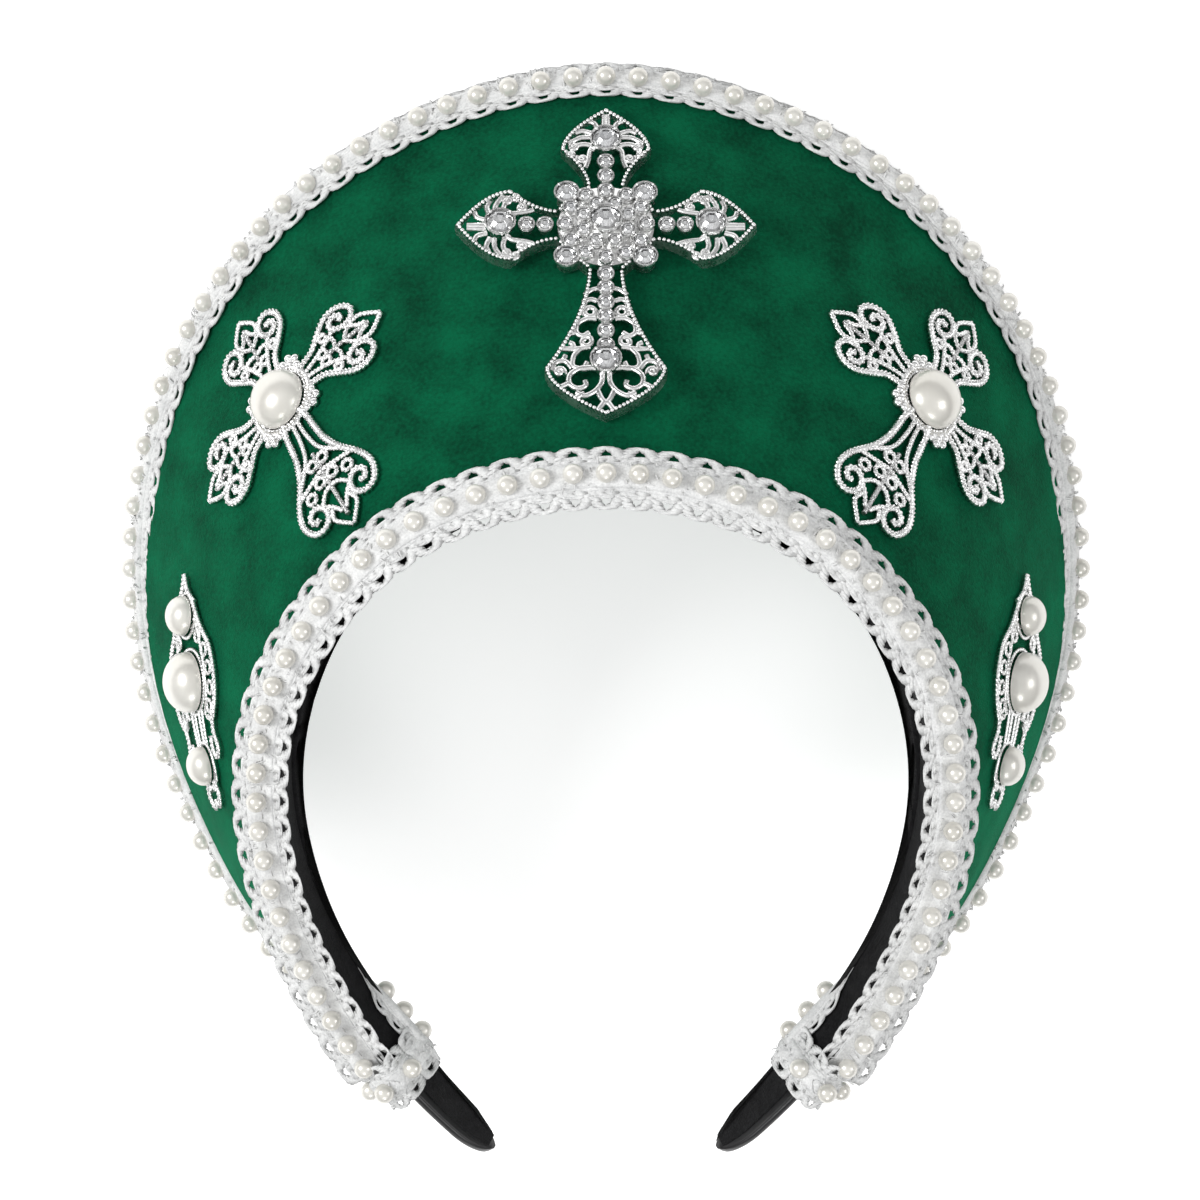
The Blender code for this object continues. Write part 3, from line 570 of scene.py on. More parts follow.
def scallops(repeats, pitch):
    """Two nested loops on both sides for every repeat, each of two plies twisted together."""
    strands = []
    for side in (-1, 1):
        for loop in LOOPS:
            swing = np.linspace(-LOOP_TUCK, math.pi + LOOP_TUCK, loop.points)
            rise = (np.sin(swing) + math.sin(LOOP_TUCK)) / (1 + math.sin(LOOP_TUCK))
            middle = np.column_stack([0.5 - loop.share / 2 * np.cos(swing),
                                      LOOP_FOOT + loop.reach * rise, loop.lift + LOOP_RISE * rise])
            length = (loop.share * pitch + 2 * loop.reach) / LOOP_ROUNDNESS
            travelled = np.linspace(0, 1, loop.points) * length
            for ply in (0, math.pi):
                twist = travelled / PLY_PITCH * math.tau + ply
                outward = np.sin(swing) * np.cos(twist) * PLY_OFFSET
                sideways = -np.cos(swing) * np.cos(twist) * PLY_OFFSET
                strand = middle.copy()
                strand[:, 0] += sideways / pitch
                strand[:, 1] = side * (strand[:, 1] + outward)
                strand[:, 2] += np.sin(twist) * PLY_OFFSET
                strands += [strand + (repeat, 0, 0) for repeat in range(repeats)]
    return strands


def tape(repeats):
    """Flat woven strip under the plait."""
    sketch = ribbon(TAPE_WIDTH, 0.0, TAPE_THICKNESS, repeats * TAPE_CELLS, TAPE_ROUNDING)
    for corner in sketch.verts:
        corner.co.x = (corner.co.x + 0.5) * repeats
        corner.co.y *= 1 + TAPE_WAVE * math.cos(corner.co.x * math.tau)
    return sketch


def fibres(repeats, seed):
    """Loose ends of yarn that stand off the plait."""
    chance = random.Random(seed)
    strands = []
    for _ in range(repeats * FIBRES):
        x, y = chance.uniform(0.05, repeats - 0.05), chance.uniform(-FIBRE_SPREAD, FIBRE_SPREAD)
        lean, way = chance.uniform(0.5, 1.0) * FIBRE_LENGTH, chance.uniform(0, math.tau)
        strands.append([(x + math.cos(way) * lean * t / FIBRE_PITCH, y + math.sin(way) * lean * t,
                         FIBRE_FOOT + FIBRE_ARCH * math.sin(2.2 * t), 1 - FIBRE_THINS * t)
                        for t in (0, 0.35, 0.7, 1.0)])
    return strands


# %% Bending lace round an edge
Fold = namedtuple("Fold", "across out high")
INNER_FOLD = (Fold(-8.0, -6.9, -3.7), Fold(-2.6, -2.3, -0.7), Fold(0.0, 0.2, 0.15), Fold(2.4, 2.6, 0.3),
              Fold(8.0, 8.2, 0.4))
OUTER_FOLD = (Fold(-8.0, 8.4, -1.8), Fold(-2.4, 3.3, 0.45), Fold(0.0, 1.2, 1.3), Fold(2.4, -1.0, 1.75),
              Fold(8.0, -6.6, 1.9))
CROWN_TUCK, TUCK_FADES = 0.65, 0.22
FULL_ROLL, ROLLED_SHIFT, FLAT_DROP = math.radians(45), 1.4, 0.1
LACE_CLEARANCE = 0.2 * MM
FOLD_LOOK, LENGTH_SAMPLES = 0.9, 600


def along_section(table, across, look, period=None):
    """Where a section table is at distances across it, and the way it runs there."""
    ahead, behind = across + look, across - look
    if period:
        ahead, behind = ahead % period, behind % period
    here, after, before = ([np.interp(at, table[:, 0], table[:, column]) for column in (1, 2)]
                           for at in (across, ahead, behind))
    slope = [a - b for a, b in zip(after, before)]
    length = np.hypot(*slope)
    return here, [part / length for part in slope]


def facing_front(out, normal, most):
    """Turns a section about its curve until its outer half leans back from the front by most or less."""
    run = np.cross(out, normal)
    side = unit(np.stack([-run[:, 2], np.zeros(len(run)), run[:, 0]], -1))
    angle = np.arctan2(-np.sum(side * normal, -1), np.sum(side * out, -1))
    turn = (np.sign(angle) * np.maximum(0, np.abs(angle) - most))[:, None]
    return (out * np.cos(turn) - normal * np.sin(turn), out * np.sin(turn) + normal * np.cos(turn),
            np.clip(np.abs(turn[:, 0]) / FULL_ROLL, 0, 1))


def lace_place(curve, fold, repeats, upside, offset, tuck, facing):
    """Gives the function that bends flat lace round an edge of the hood."""
    table = np.array(fold)

    def place(flat):
        share = np.clip(flat[:, 0] / repeats * 2 - 1, -1, 1)
        across = flat[:, 1]
        if tuck:
            short = CROWN_TUCK + (1 - CROWN_TUCK) * np.clip(np.abs(share) / TUCK_FADES, 0, 1)
            across = np.where(across > LOOP_FOOT, LOOP_FOOT + (across - LOOP_FOOT) * short, across)
        here, run = along_section(table, across, FOLD_LOOK)
        out_of = here[0] - upside * run[1] * flat[:, 2]
        high = here[1] + upside * run[0] * flat[:, 2]
        out, normal, rolled = facing_front(*section_frame(share, curve), facing)
        if upside > 0:
            high = np.where(across < 0, high * (1 - (1 - FLAT_DROP) * rolled), high)
            out_of = out_of - ROLLED_SHIFT * rolled

        def spot(outward, upward):
            return laid_down(curve(share) + out * (outward + offset[0])[:, None]
                             + normal * (upward + offset[1])[:, None])

        # Lace that would reach below the table lies on it instead
        bedded = spot(out_of, high)
        bedded[:, 2] += np.maximum(0, LACE_CLEARANCE - spot(*here)[:, 2])
        return bedded
    return place


def curve_length(curve):
    spots = curve(np.linspace(-1, 1, LENGTH_SAMPLES))
    return np.linalg.norm(np.diff(spots, axis=0), axis=1).sum()


# %% Loose hairs on the edge of the woven strip
FUZZ, FUZZ_LENGTH, FUZZ_THICKNESS = 420, 0.6, 0.09
FUZZ_REACH, FUZZ_LEAN, FUZZ_SINK, FUZZ_THINS = 0.455, 0.002, 0.3, 0.7
hair_foot = LINING_SHIFT + LINING_WIDTH / 2 - RAGGED_STRIP
hairs = []
for _ in range(FUZZ):
    x, lean = shaker.uniform(-FUZZ_REACH, FUZZ_REACH), shaker.uniform(-FUZZ_LEAN, FUZZ_LEAN)
    reach = RAGGED_STRIP + shaker.uniform(0.3, 1.0) * FUZZ_LENGTH
    hairs.append([(x + lean * t, hair_foot + reach * t, -0.2 - FUZZ_SINK * t * t, 1 - FUZZ_THINS * t)
                  for t in (0, 0.5, 1.0)])
finished("headband_fuzz", tubes(hairs, FUZZ_THICKNESS, 0), "felt", smooth=180,
         place=band_place)

# %% Both braids, bent round the edges
Braid = namedtuple("Braid", "name curve repeats fold upside offset tuck facing slide node")
BRAIDS = (
    Braid("inner", edge, 55, INNER_FOLD, 1, (0.0, 0.0), False, math.radians(30), (0.0, 0.0), "inner_trim"),
    Braid("outer", rim, 85, OUTER_FOLD, -1, (-RIM_MARGIN, -WALL / 2), True, math.radians(52), (1.3, -0.5),
          "outer_trim"),
)
SLIDE_FROM, SLIDE_OVER = 0.30, 0.30


def pearl_row(name, spots):
    """Round beads at their places, all in one piece."""
    beads = bmesh.new()
    for x, y, z in spots:
        resting = Vector((x, y, max(z, PEARL_RADIUS * MM + FLOOR_CLEARANCE)))
        bmesh.ops.create_uvsphere(beads, u_segments=PEARL_FACETS[0], v_segments=PEARL_FACETS[1],
                                  radius=PEARL_RADIUS * MM, matrix=Matrix.Translation(resting))
    finished(name, beads, "pearl")


for braid in BRAIDS:
    pitch = curve_length(braid.curve) / braid.repeats
    place = lace_place(braid.curve, braid.fold, braid.repeats, braid.upside, braid.offset, braid.tuck,
                       braid.facing)
    core = tubes(plait(braid.repeats), PLAIT_STRAND, 1)
    loops = tubes(scallops(braid.repeats, pitch), PLY, 0)
    for part, sketch in (("tape", tape(braid.repeats)), ("core", core), ("loops", loops),
                         ("fibres", tubes(fibres(braid.repeats, braid.repeats), FIBRE, 0))):
        finished(f"{braid.name}_braid_{part}", sketch, "cord", [braid.node], smooth=180, soft=True,
                 place=place)
    along = np.arange(braid.repeats) + 0.5
    down = np.clip((np.abs(along / braid.repeats * 2 - 1) - SLIDE_FROM) / SLIDE_OVER, 0, 1)
    slide = braid.slide[0] + (braid.slide[1] - braid.slide[0]) * down
    middles = np.column_stack([along, slide, np.full(braid.repeats, PEARL_LIFT)])
    pearl_row(braid.name + "_pearls", place(middles))
    print(braid.name, "braid: one pearl every", round(pitch, 2), "mm")

# %% [markdown]
# ## The strip along the end of the band
#
# The outer braid doesn't stop at the horn. Its last few repeats lie along the rear edge of the band and
# end under the wrap. The strip is the same flat lace, bent round that edge by a short section table, and
# it grows from a narrow end so that no cut edge shows.

# %% Strip of braid at each rear edge of the band
Bend = namedtuple("Bend", "lace across out")
TAIL_FROM, TAIL_TO, TAIL_REPEATS, TAIL_GROWS, TAIL_END_SIZE = 0.885, 1.022, 4, 1.6, 0.25
TAIL_FOLD = (Bend(-8.0, 7.0, -2.7), Bend(-2.4, 10.2, -3.0), Bend(0.0, 11.7, -2.5), Bend(2.2, 12.4, -0.7),
             Bend(8.0, 12.5, 4.0))
TAIL_PEARL_ACROSS, SHORT_LACE_PITCH, LACE_SQUASH = 0.9, 6.6, 0.8


def tail_place(side):
    """Bends flat lace along the rear edge of the band, where the outer braid ends."""
    table = np.array(TAIL_FOLD)

    def place(flat):
        share = side * (TAIL_FROM + flat[:, 0] / TAIL_REPEATS * (TAIL_TO - TAIL_FROM))
        flat = flat * (1, 1, LACE_SQUASH) * np.clip(flat[:, :1] / TAIL_GROWS, TAIL_END_SIZE, 1)
        here, run = along_section(table, flat[:, 1], FOLD_LOOK)
        across = here[0] + run[1] * flat[:, 2]
        out = here[1] - run[0] * flat[:, 2]
        width, outward, start = band_frame(share)
        return laid_down(start + width * across[:, None] + outward * out[:, None])
    return place


for side, name in ((-1, "left"), (1, "right")):
    place = tail_place(side)
    for part, sketch in (("tape", tape(TAIL_REPEATS)), ("core", tubes(plait(TAIL_REPEATS), PLAIT_STRAND, 1)),
                         ("loops", tubes(scallops(TAIL_REPEATS, SHORT_LACE_PITCH), PLY, 0))):
        finished(f"tail_{part}_{name}", sketch, "cord", ["outer_trim"], smooth=180, place=place)
    middles = np.array([(index + 0.5, TAIL_PEARL_ACROSS, PEARL_LIFT) for index in range(1, TAIL_REPEATS)])
    pearl_row(f"tail_pearls_{name}", place(middles))

# %% [markdown]
# ## The wraps at the horns
#
# Where each horn ends, the braid turns once round the band and is sewn down. The same flat lace does
# it again, bent round the band in place of along an edge.

# %% A turn of braid round each end
WRAP_AT, WRAP_REPEATS, WRAP_SQUEEZE, WRAP_LOOK = 1.016, 7, 0.90, 0.03
WRAP_PEARLS, WRAP_PEARL_LIFT = (0.4, 1.5, 2.6, 3.8, 4.8), 3.1
Turn = namedtuple("Turn", "around across out")
WRAP_TURN = (Turn(0.00, 5.5, -2.9), Turn(0.13, -0.4, -2.9), Turn(0.19, -1.4, -1.9), Turn(0.31, -1.4, 1.4),
             Turn(0.38, -0.4, 2.5), Turn(0.64, 11.6, 2.5), Turn(0.71, 12.6, 1.4), Turn(0.81, 12.6, -1.9),
             Turn(0.87, 11.6, -2.9), Turn(1.00, 5.5, -2.9))


def wrap_place(side):
    """Bends flat lace once round the band at one end of the horn."""
    table = np.array(WRAP_TURN)

    def place(flat):
        here, heading = along_section(table, flat[:, 0] / WRAP_REPEATS, WRAP_LOOK, period=1)
        lift = flat[:, 2] * LACE_SQUASH
        across = here[0] - heading[1] * lift
        out = here[1] + heading[0] * lift
        share = np.full(len(flat), side * WRAP_AT)
        width, outward, start = band_frame(share)
        run = unit(edge(share + RUN_STEP) - edge(share - RUN_STEP))
        return laid_down(start + width * across[:, None] + outward * out[:, None]
                         + run * (flat[:, 1] * WRAP_SQUEEZE)[:, None])
    return place


for side, name in ((-1, "left"), (1, "right")):
    place = wrap_place(side)
    for part, sketch in (("tape", tape(WRAP_REPEATS)), ("core", tubes(plait(WRAP_REPEATS), PLAIT_STRAND, 1)),
                         ("fibres", tubes(fibres(WRAP_REPEATS, 3), FIBRE, 0)),
                         ("loops", tubes(scallops(WRAP_REPEATS, SHORT_LACE_PITCH), PLY, 0))):
        finished(f"wrap_{part}_{name}", sketch, "cord", ["braid_wrap_" + name], smooth=180,
                 soft=True, place=place)
    middles = np.array([(along, 0.0, WRAP_PEARL_LIFT) for along in WRAP_PEARLS])
    pearl_row(f"wrap_pearls_{name}", place(middles))

# %% [markdown]
# ## Seats for the metalwork
#
# The cast cross is stiff and keeps its flat back, while the pressed plates are thin and follow the
# cone. Both are drawn flat, x along the edge and y towards the rim. A seat then lays the drawing on
# the velvet, either as it is or draped.

# %% Seats
CROSS_SEAT = (0.0, 0.593, 0.0)
FILIGREE_SHARE, FILIGREE_PART, FILIGREE_TURN = 0.317, 0.533, math.radians(-3)
BROOCH_SHARE, BROOCH_PART, BROOCH_TURN = 0.582, 0.465, math.radians(22)
JEWEL_GAP = 0.5
DRAPE_ROUNDS = 5


class Seat:
    """Flat drawing board laid on the velvet at one spot."""

    def __init__(self, share, part, turn=0.0):
        self.share, self.part = share, part

        def spot(along, across):
            return face(np.array([share + along]), np.array([part + across]))[0]

        self.origin = spot(0, 0)
        run = unit(spot(FACE_STEP, 0) - spot(-FACE_STEP, 0))
        out = spot(0, FACE_STEP) - spot(0, -FACE_STEP)
        self.up = unit(np.cross(run, out))
        out = unit(np.cross(self.up, run))
        self.x = run * math.cos(turn) + out * math.sin(turn)
        self.y = np.cross(self.up, self.x)

    def flat(self, points):
        return laid_down(self.origin + points[:, :1] * self.x + points[:, 1:2] * self.y
                         + points[:, 2:3] * self.up)

    def draped(self, points):
        """The same spots carried down on to the velvet."""
        share = np.full(len(points), self.share)
        part = np.full(len(points), self.part)
        aim = self.origin + points[:, :1] * self.x + points[:, 1:2] * self.y
        for _ in range(DRAPE_ROUNDS):
            here = face(share, part)
            along = (face(share + FACE_STEP, part) - here) / FACE_STEP
            across = (face(share, part + FACE_STEP) - here) / FACE_STEP
            miss = aim - here
            left, right = miss @ self.x, miss @ self.y
            a, b, c, d = along @ self.x, across @ self.x, along @ self.y, across @ self.y
            scale = a * d - b * c
            share = share + (left * d - right * b) / scale
            part = part + (right * a - left * c) / scale
        here = face(share, part)
        normal = unit(np.cross(face(share + FACE_STEP, part) - here, face(share, part + FACE_STEP) - here))
        return laid_down(here + normal * points[:, 2:3])


# %% [markdown]
# ## Drawing scrolls
#
# A goldsmith's scroll is a wire bent through a few places and curled in at its end. Here a path goes
# smoothly through a few points, and a curl is a short spiral. Both are mirrored over the arm and
# turned to its direction, so one table serves four arms.

# %% Paths, curls and the wire itself
WIRE_STEP, PATH_STEPS = 0.30, 12
CURL_POINTS, CURL_END, RING_POINTS = 26, 0.28, 18


def path(points):
    """Smooth line through points, resampled to even steps."""
    points = np.asarray(points, float)
    padded = np.vstack([2 * points[0] - points[1], points, 2 * points[-1] - points[-2]])
    t = np.linspace(0, 1, PATH_STEPS, endpoint=False)[:, None]
    rows = [between(*four, t) for four in zip(padded, padded[1:], padded[2:], padded[3:])]
    line = np.vstack([*rows, points[-1:]])
    gone = np.concatenate([[0], np.cumsum(np.linalg.norm(np.diff(line, axis=0), axis=1))])
    even = np.linspace(0, gone[-1], max(3, int(gone[-1] / WIRE_STEP)))
    return np.column_stack([np.interp(even, gone, line[:, axis]) for axis in (0, 1)])


def curl(x, y, radius, begin, sweep):
    """Spiral that winds in round a point; angles in degrees."""
    angle = np.radians(begin + sweep * np.linspace(0, 1, CURL_POINTS))
    size = radius * (1 - (1 - CURL_END) * np.linspace(0, 1, CURL_POINTS))
    return path(np.column_stack([x + size * np.cos(angle), y + size * np.sin(angle)]))


def ring(x, y, radius):
    angle = np.linspace(0, math.tau, RING_POINTS)
    return path(np.column_stack([x + radius * np.cos(angle), y + radius * np.sin(angle)]))


def turned(line, degrees):
    angle = math.radians(degrees)
    turn = np.array([[math.cos(angle), math.sin(angle)], [-math.sin(angle), math.cos(angle)]])
    return line @ turn


def off_centre(distance, degrees):
    """Point at a distance from the middle, in one direction."""
    return turned(np.array([(distance, 0.0)]), degrees)[0]


def both_sides(lines):
    return [line * flip for line in lines for flip in ((1, 1), (1, -1))]


def wire(lines, high, ridge=0.0, ridge_pitch=0.8):
    """Rows for tubes at one height, with the ridges of a stamped rope if asked."""
    rows = []
    for line in lines:
        gone = np.arange(len(line)) * WIRE_STEP
        swell = 1 + ridge * np.cos(gone / ridge_pitch * math.tau)
        rows.append(np.column_stack([line, np.full(len(line), high), swell]))
    return rows


# %% [markdown]
# ## The cast cross
#
# The cross on the crown is a casting: a raised border with a row of tiny beads, scrolls across its
# openings, and cups for the stones. The border is one outline, inset and pulled up. The beads repeat
# along the outline, and the scrolls are wires from the tables.

# %% Border, beads and scrolls of the cast cross
CROSS_HEIGHT, BORDER_WIDTH = 2.8, 1.5
Step = namedtuple("Step", "radius top_radius low high")
BOSS_STEPS = (Step(9.9, 9.9, 0.6, 2.4), Step(9.9, 3.5, 2.4, 3.6))
BOSS_SIDES = 48
SCROLL_WIRE, SCROLL_SINK = 1.25, 0.75
FLARE_POWER, POINT_POWER, ARM_POINTS = 1.8, 1.85, 9
Arm = namedtuple("Arm", "name angle neck neck_half corner corner_half tip stone small_stones")
CROSS_ARMS = (
    Arm("top", 90, 9.5, 3.9, 19.2, 9.4, 30.0, 21.3, (12.3, 16.0)),
    Arm("left", 180, 10.0, 3.9, 19.6, 9.0, 31.0, 21.7, (12.5, 16.3)),
    Arm("bottom", 270, 11.0, 3.7, 35.4, 12.4, 46.9, 34.0, (12.4, 15.9, 19.4, 22.9, 26.5, 30.0)),
    Arm("right", 0, 10.0, 3.9, 19.6, 9.0, 31.0, 21.7, (12.5, 16.3)),
)
Lobe = namedtuple("Lobe", "lean size")
LOBE_RADIUS = 13.4
LOBE = (Lobe(32, 0.80), Lobe(36, 0.93), Lobe(41, 0.99), Lobe(45, 1.0), Lobe(49, 0.99), Lobe(54, 0.93),
        Lobe(58, 0.80))

# %% Scrolls of the short arms and of the long one, along the arm and across it
SHORT_SCROLLS = (
    path([(20.4, 2.0), (19.4, 3.2), (17.8, 3.5), (16.2, 3.8), (14.9, 4.3)]),
    path([(20.8, 2.8), (21.0, 5.2), (19.6, 7.6)]),
    path([(22.9, 3.0), (22.7, 5.4), (21.2, 7.9)]),
    path([(23.8, 2.8), (24.5, 4.8), (24.0, 6.4)]),
    path([(24.4, 1.6), (26.4, 2.3), (27.0, 3.6)]),
    path([(24.6, 0.4), (28.6, 0.4)]),
    curl(17.4, 4.9, 1.0, 60, 420),
    curl(20.5, 6.5, 1.0, 20, 360),
    curl(18.6, 7.2, 0.8, 60, 360),
)
LONG_SCROLLS = (
    path([(15.5, 1.7), (15.9, 3.0), (17.2, 4.4)]),
    path([(18.6, 1.8), (18.2, 3.2), (19.0, 4.8)]),
    path([(18.8, 4.2), (20.4, 4.6), (22.2, 5.2)]),
    ring(21.3, 3.2, 1.1),
    path([(23.0, 1.9), (22.9, 3.8), (24.2, 5.7), (26.2, 6.0), (27.2, 4.8), (26.4, 3.4)]),
    path([(26.2, 6.0), (26.8, 7.6)]),
    curl(28.6, 4.1, 1.5, 160, 430),
    path([(28.9, 7.4), (29.3, 6.6), (30.3, 6.7)]),
    path([(30.3, 9.0), (30.4, 6.2), (29.9, 3.2)]),
    path([(30.4, 5.2), (32.2, 6.5), (34.6, 6.6), (35.2, 4.6), (34.8, 2.9)]),
    path([(34.6, 4.2), (33.7, 3.8)]),
    path([(35.2, 6.8), (33.4, 8.3), (33.8, 10.2), (35.8, 11.0)]),
    path([(32.0, 8.2), (33.0, 8.6)]),
    curl(36.0, 9.4, 1.1, 300, -380),
    path([(35.1, 1.9), (35.0, 4.8), (36.6, 7.2), (38.9, 7.3), (40.0, 5.7), (39.4, 4.1), (38.2, 4.2)]),
    path([(35.4, 0.8), (38.2, 0.8), (40.4, 2.0), (41.8, 4.2), (41.0, 6.0)]),
    path([(38.6, 7.2), (39.6, 9.0)]),
    path([(41.2, 4.4), (42.4, 6.2)]),
    path([(40.6, 1.6), (42.4, 0.9), (43.6, 0.0)]),
    path([(43.2, 0.3), (45.4, 1.7)]),
)


# %% Outline, border and boss
def cross_outline():
    """Closed outline of the cross, arm by arm with the lobe that carries each corner stone."""
    line = []
    for arm in sorted(CROSS_ARMS, key=lambda item: item.angle):
        flare = [(arm.neck + (arm.corner - arm.neck) * t,
                  arm.neck_half + (arm.corner_half - arm.neck_half) * t ** FLARE_POWER)
                 for t in np.linspace(0, 1, ARM_POINTS)]
        point = [(arm.corner + (arm.tip - arm.corner) * t, arm.corner_half * (1 - t ** POINT_POWER))
                 for t in np.linspace(0.1, 0.9, ARM_POINTS)]
        half = flare + point
        whole = [(x, -y) for x, y in half] + [(arm.tip, 0.0)] + half[::-1]
        lobe = [(LOBE_RADIUS * spot.size * math.cos(math.radians(spot.lean)),
                 LOBE_RADIUS * spot.size * math.sin(math.radians(spot.lean))) for spot in LOBE]
        line.append(turned(np.array(whole + lobe), arm.angle))
    return np.vstack(line)


outline = cross_outline()
border = bmesh.new()
loop = [border.verts.new((x, y, 0)) for x, y in outline]
plate = border.faces.new(loop)
bmesh.ops.inset_region(border, faces=[plate], thickness=BORDER_WIDTH, use_boundary=True,
                       use_even_offset=True)
bmesh.ops.delete(border, geom=[plate], context="FACES_ONLY")
raise_pulled(border, bmesh.ops.extrude_face_region(border, geom=border.faces[:]), CROSS_HEIGHT)
for radius, top_radius, low, high in BOSS_STEPS:
    bmesh.ops.create_cone(border, cap_ends=True, segments=BOSS_SIDES, radius1=radius, radius2=top_radius,
                          depth=high - low, matrix=Matrix.Translation((0, 0, (high + low) / 2)))
bmesh.ops.recalc_face_normals(border, faces=border.faces)
cross_seat = Seat(*CROSS_SEAT)


def on_cross(points):
    return cross_seat.flat(points + (0, 0, JEWEL_GAP))


finished("cross_border", border, "silver", ["centre_cross"], smooth=35, place=on_cross)

# %% Scrolls across the openings
scrolls = []
for arm in CROSS_ARMS:
    table = LONG_SCROLLS if arm.name == "bottom" else SHORT_SCROLLS
    scrolls += [turned(line, arm.angle) for line in both_sides(table)]
finished("cross_scrolls", tubes(wire(scrolls, CROSS_HEIGHT - SCROLL_SINK), SCROLL_WIRE, 2), "silver",
         ["centre_cross"], smooth=180, place=on_cross)

# %% Row of tiny beads along the outline
BEAD_STEP, BEAD_RADIUS, BEAD_INSET, BEAD_LOOK = 0.92, 0.44, 0.5, 0.3
closed = np.vstack([outline, outline[:1]])
gone = np.concatenate([[0], np.cumsum(np.linalg.norm(np.diff(closed, axis=0), axis=1))])
spots = np.arange(0, gone[-1], BEAD_STEP)
ahead, behind = (np.column_stack([np.interp((spots + look) % gone[-1], gone, closed[:, axis])
                                  for axis in (0, 1)]) for look in (BEAD_LOOK, -BEAD_LOOK))
inward = unit((ahead - behind) @ np.array([[0, 1], [-1, 0]]))
middle = (ahead + behind) / 2 + inward * BEAD_INSET
beads = bmesh.new()
for x, y in middle:
    bmesh.ops.create_uvsphere(beads, u_segments=8, v_segments=5, radius=BEAD_RADIUS,
                              matrix=Matrix.Translation((x, y, CROSS_HEIGHT)))
finished("cross_milled_edge", beads, "silver", ["centre_cross"], place=on_cross)

# %% [markdown]
# ## Stones
#
# Each stone is a foiled rhinestone: a glass crown with a flat table over a mirror-like cone. The crown
# is a cone of eight sides whose edges are bevelled to the small facets between, and the foil is a
# second cone, point down and turned by half a facet, which throws the light back.

# %% Places of the stones
Stone = namedtuple("Stone", "x y radius high")
Circle = namedtuple("Circle", "count distance start high")
MIDDLE_STONE, ARM_STONE, CORNER_STONE, SMALL_STONE = 3.1, 2.9, 2.35, 1.5
MIDDLE_LIFT, ARM_LIFT, CORNER_LIFT, SMALL_LIFT = 2.9, 1.6, 0.6, 0.5
CORNER_DISTANCE = 11.4
CIRCLES = (Circle(8, 4.95, 22.5, 1.4), Circle(12, 8.3, 0.0, 0.75))
STONES = [Stone(0, 0, MIDDLE_STONE, CROSS_HEIGHT + MIDDLE_LIFT)]
for arm in CROSS_ARMS:
    STONES.append(Stone(*off_centre(arm.stone, arm.angle), ARM_STONE, CROSS_HEIGHT + ARM_LIFT))
    for along in arm.small_stones:
        STONES.append(Stone(*off_centre(along, arm.angle), SMALL_STONE, CROSS_HEIGHT + SMALL_LIFT))
for angle in range(45, 405, 90):
    STONES.append(Stone(*off_centre(CORNER_DISTANCE, angle), CORNER_STONE, CROSS_HEIGHT + CORNER_LIFT))
for circle in CIRCLES:
    for index in range(circle.count):
        spot = off_centre(circle.distance, circle.start + 360 * index / circle.count)
        STONES.append(Stone(*spot, SMALL_STONE, CROSS_HEIGHT + circle.high))
print("stones", len(STONES))

# %% Cut glass over foil, as shares of each stone's radius
CUT_SIDES, HALF_SIDE = 8, math.radians(22.5)
CROWN_DEPTH, CROWN_LIFT, TABLE_SHARE, CORNER_CUT = 0.36, 0.12, 0.52, 0.2
FOIL_DEPTH, FOIL_GAP, FOIL_POINT, FOIL_SHARE = 0.34, 0.08, 0.12, 0.96
STONE_NODES = [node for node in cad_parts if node.endswith("_stone")]


def crowns(stones):
    """Glass crowns, each a cut cone with its slanted edges bevelled to facets."""
    glass = bmesh.new()
    for stone in stones:
        middle = (stone.x, stone.y, stone.high + CROWN_LIFT * stone.radius)
        made = bmesh.ops.create_cone(glass, cap_ends=True, segments=CUT_SIDES, radius1=stone.radius,
                                     radius2=stone.radius * TABLE_SHARE, depth=stone.radius * CROWN_DEPTH,
                                     matrix=Matrix.Translation(middle))
        slanted = {line for corner in made["verts"] for line in corner.link_edges
                   if abs(line.verts[0].co.z - line.verts[1].co.z) > 0.1 * stone.radius}
        bmesh.ops.bevel(glass, geom=list(slanted), offset=CORNER_CUT * stone.radius, segments=1, profile=0.5,
                        affect="EDGES", material=-1)
    return glass


def foils(stones):
    """Mirrors under the crowns, each an open cone with its point down."""
    mirror = bmesh.new()
    for stone in stones:
        depth = stone.radius * FOIL_DEPTH
        low = stone.high - FOIL_GAP * stone.radius - depth / 2
        turn = Matrix.Translation((stone.x, stone.y, low)) @ Matrix.Rotation(HALF_SIDE, 4, "Z")
        bmesh.ops.create_cone(mirror, cap_ends=True, segments=CUT_SIDES, radius1=FOIL_POINT * stone.radius,
                              radius2=stone.radius * FOIL_SHARE, depth=depth, matrix=turn)
        lids = [side for side in mirror.faces
                if len(side.verts) == CUT_SIDES and side.calc_area() > stone.radius**2]
        bmesh.ops.delete(mirror, geom=lids, context="FACES_ONLY")
    return mirror


finished("cross_stones", crowns(STONES), "glass", STONE_NODES, smooth=1, place=on_cross)
finished("cross_foils", foils(STONES), "foil", STONE_NODES, smooth=1, place=on_cross)

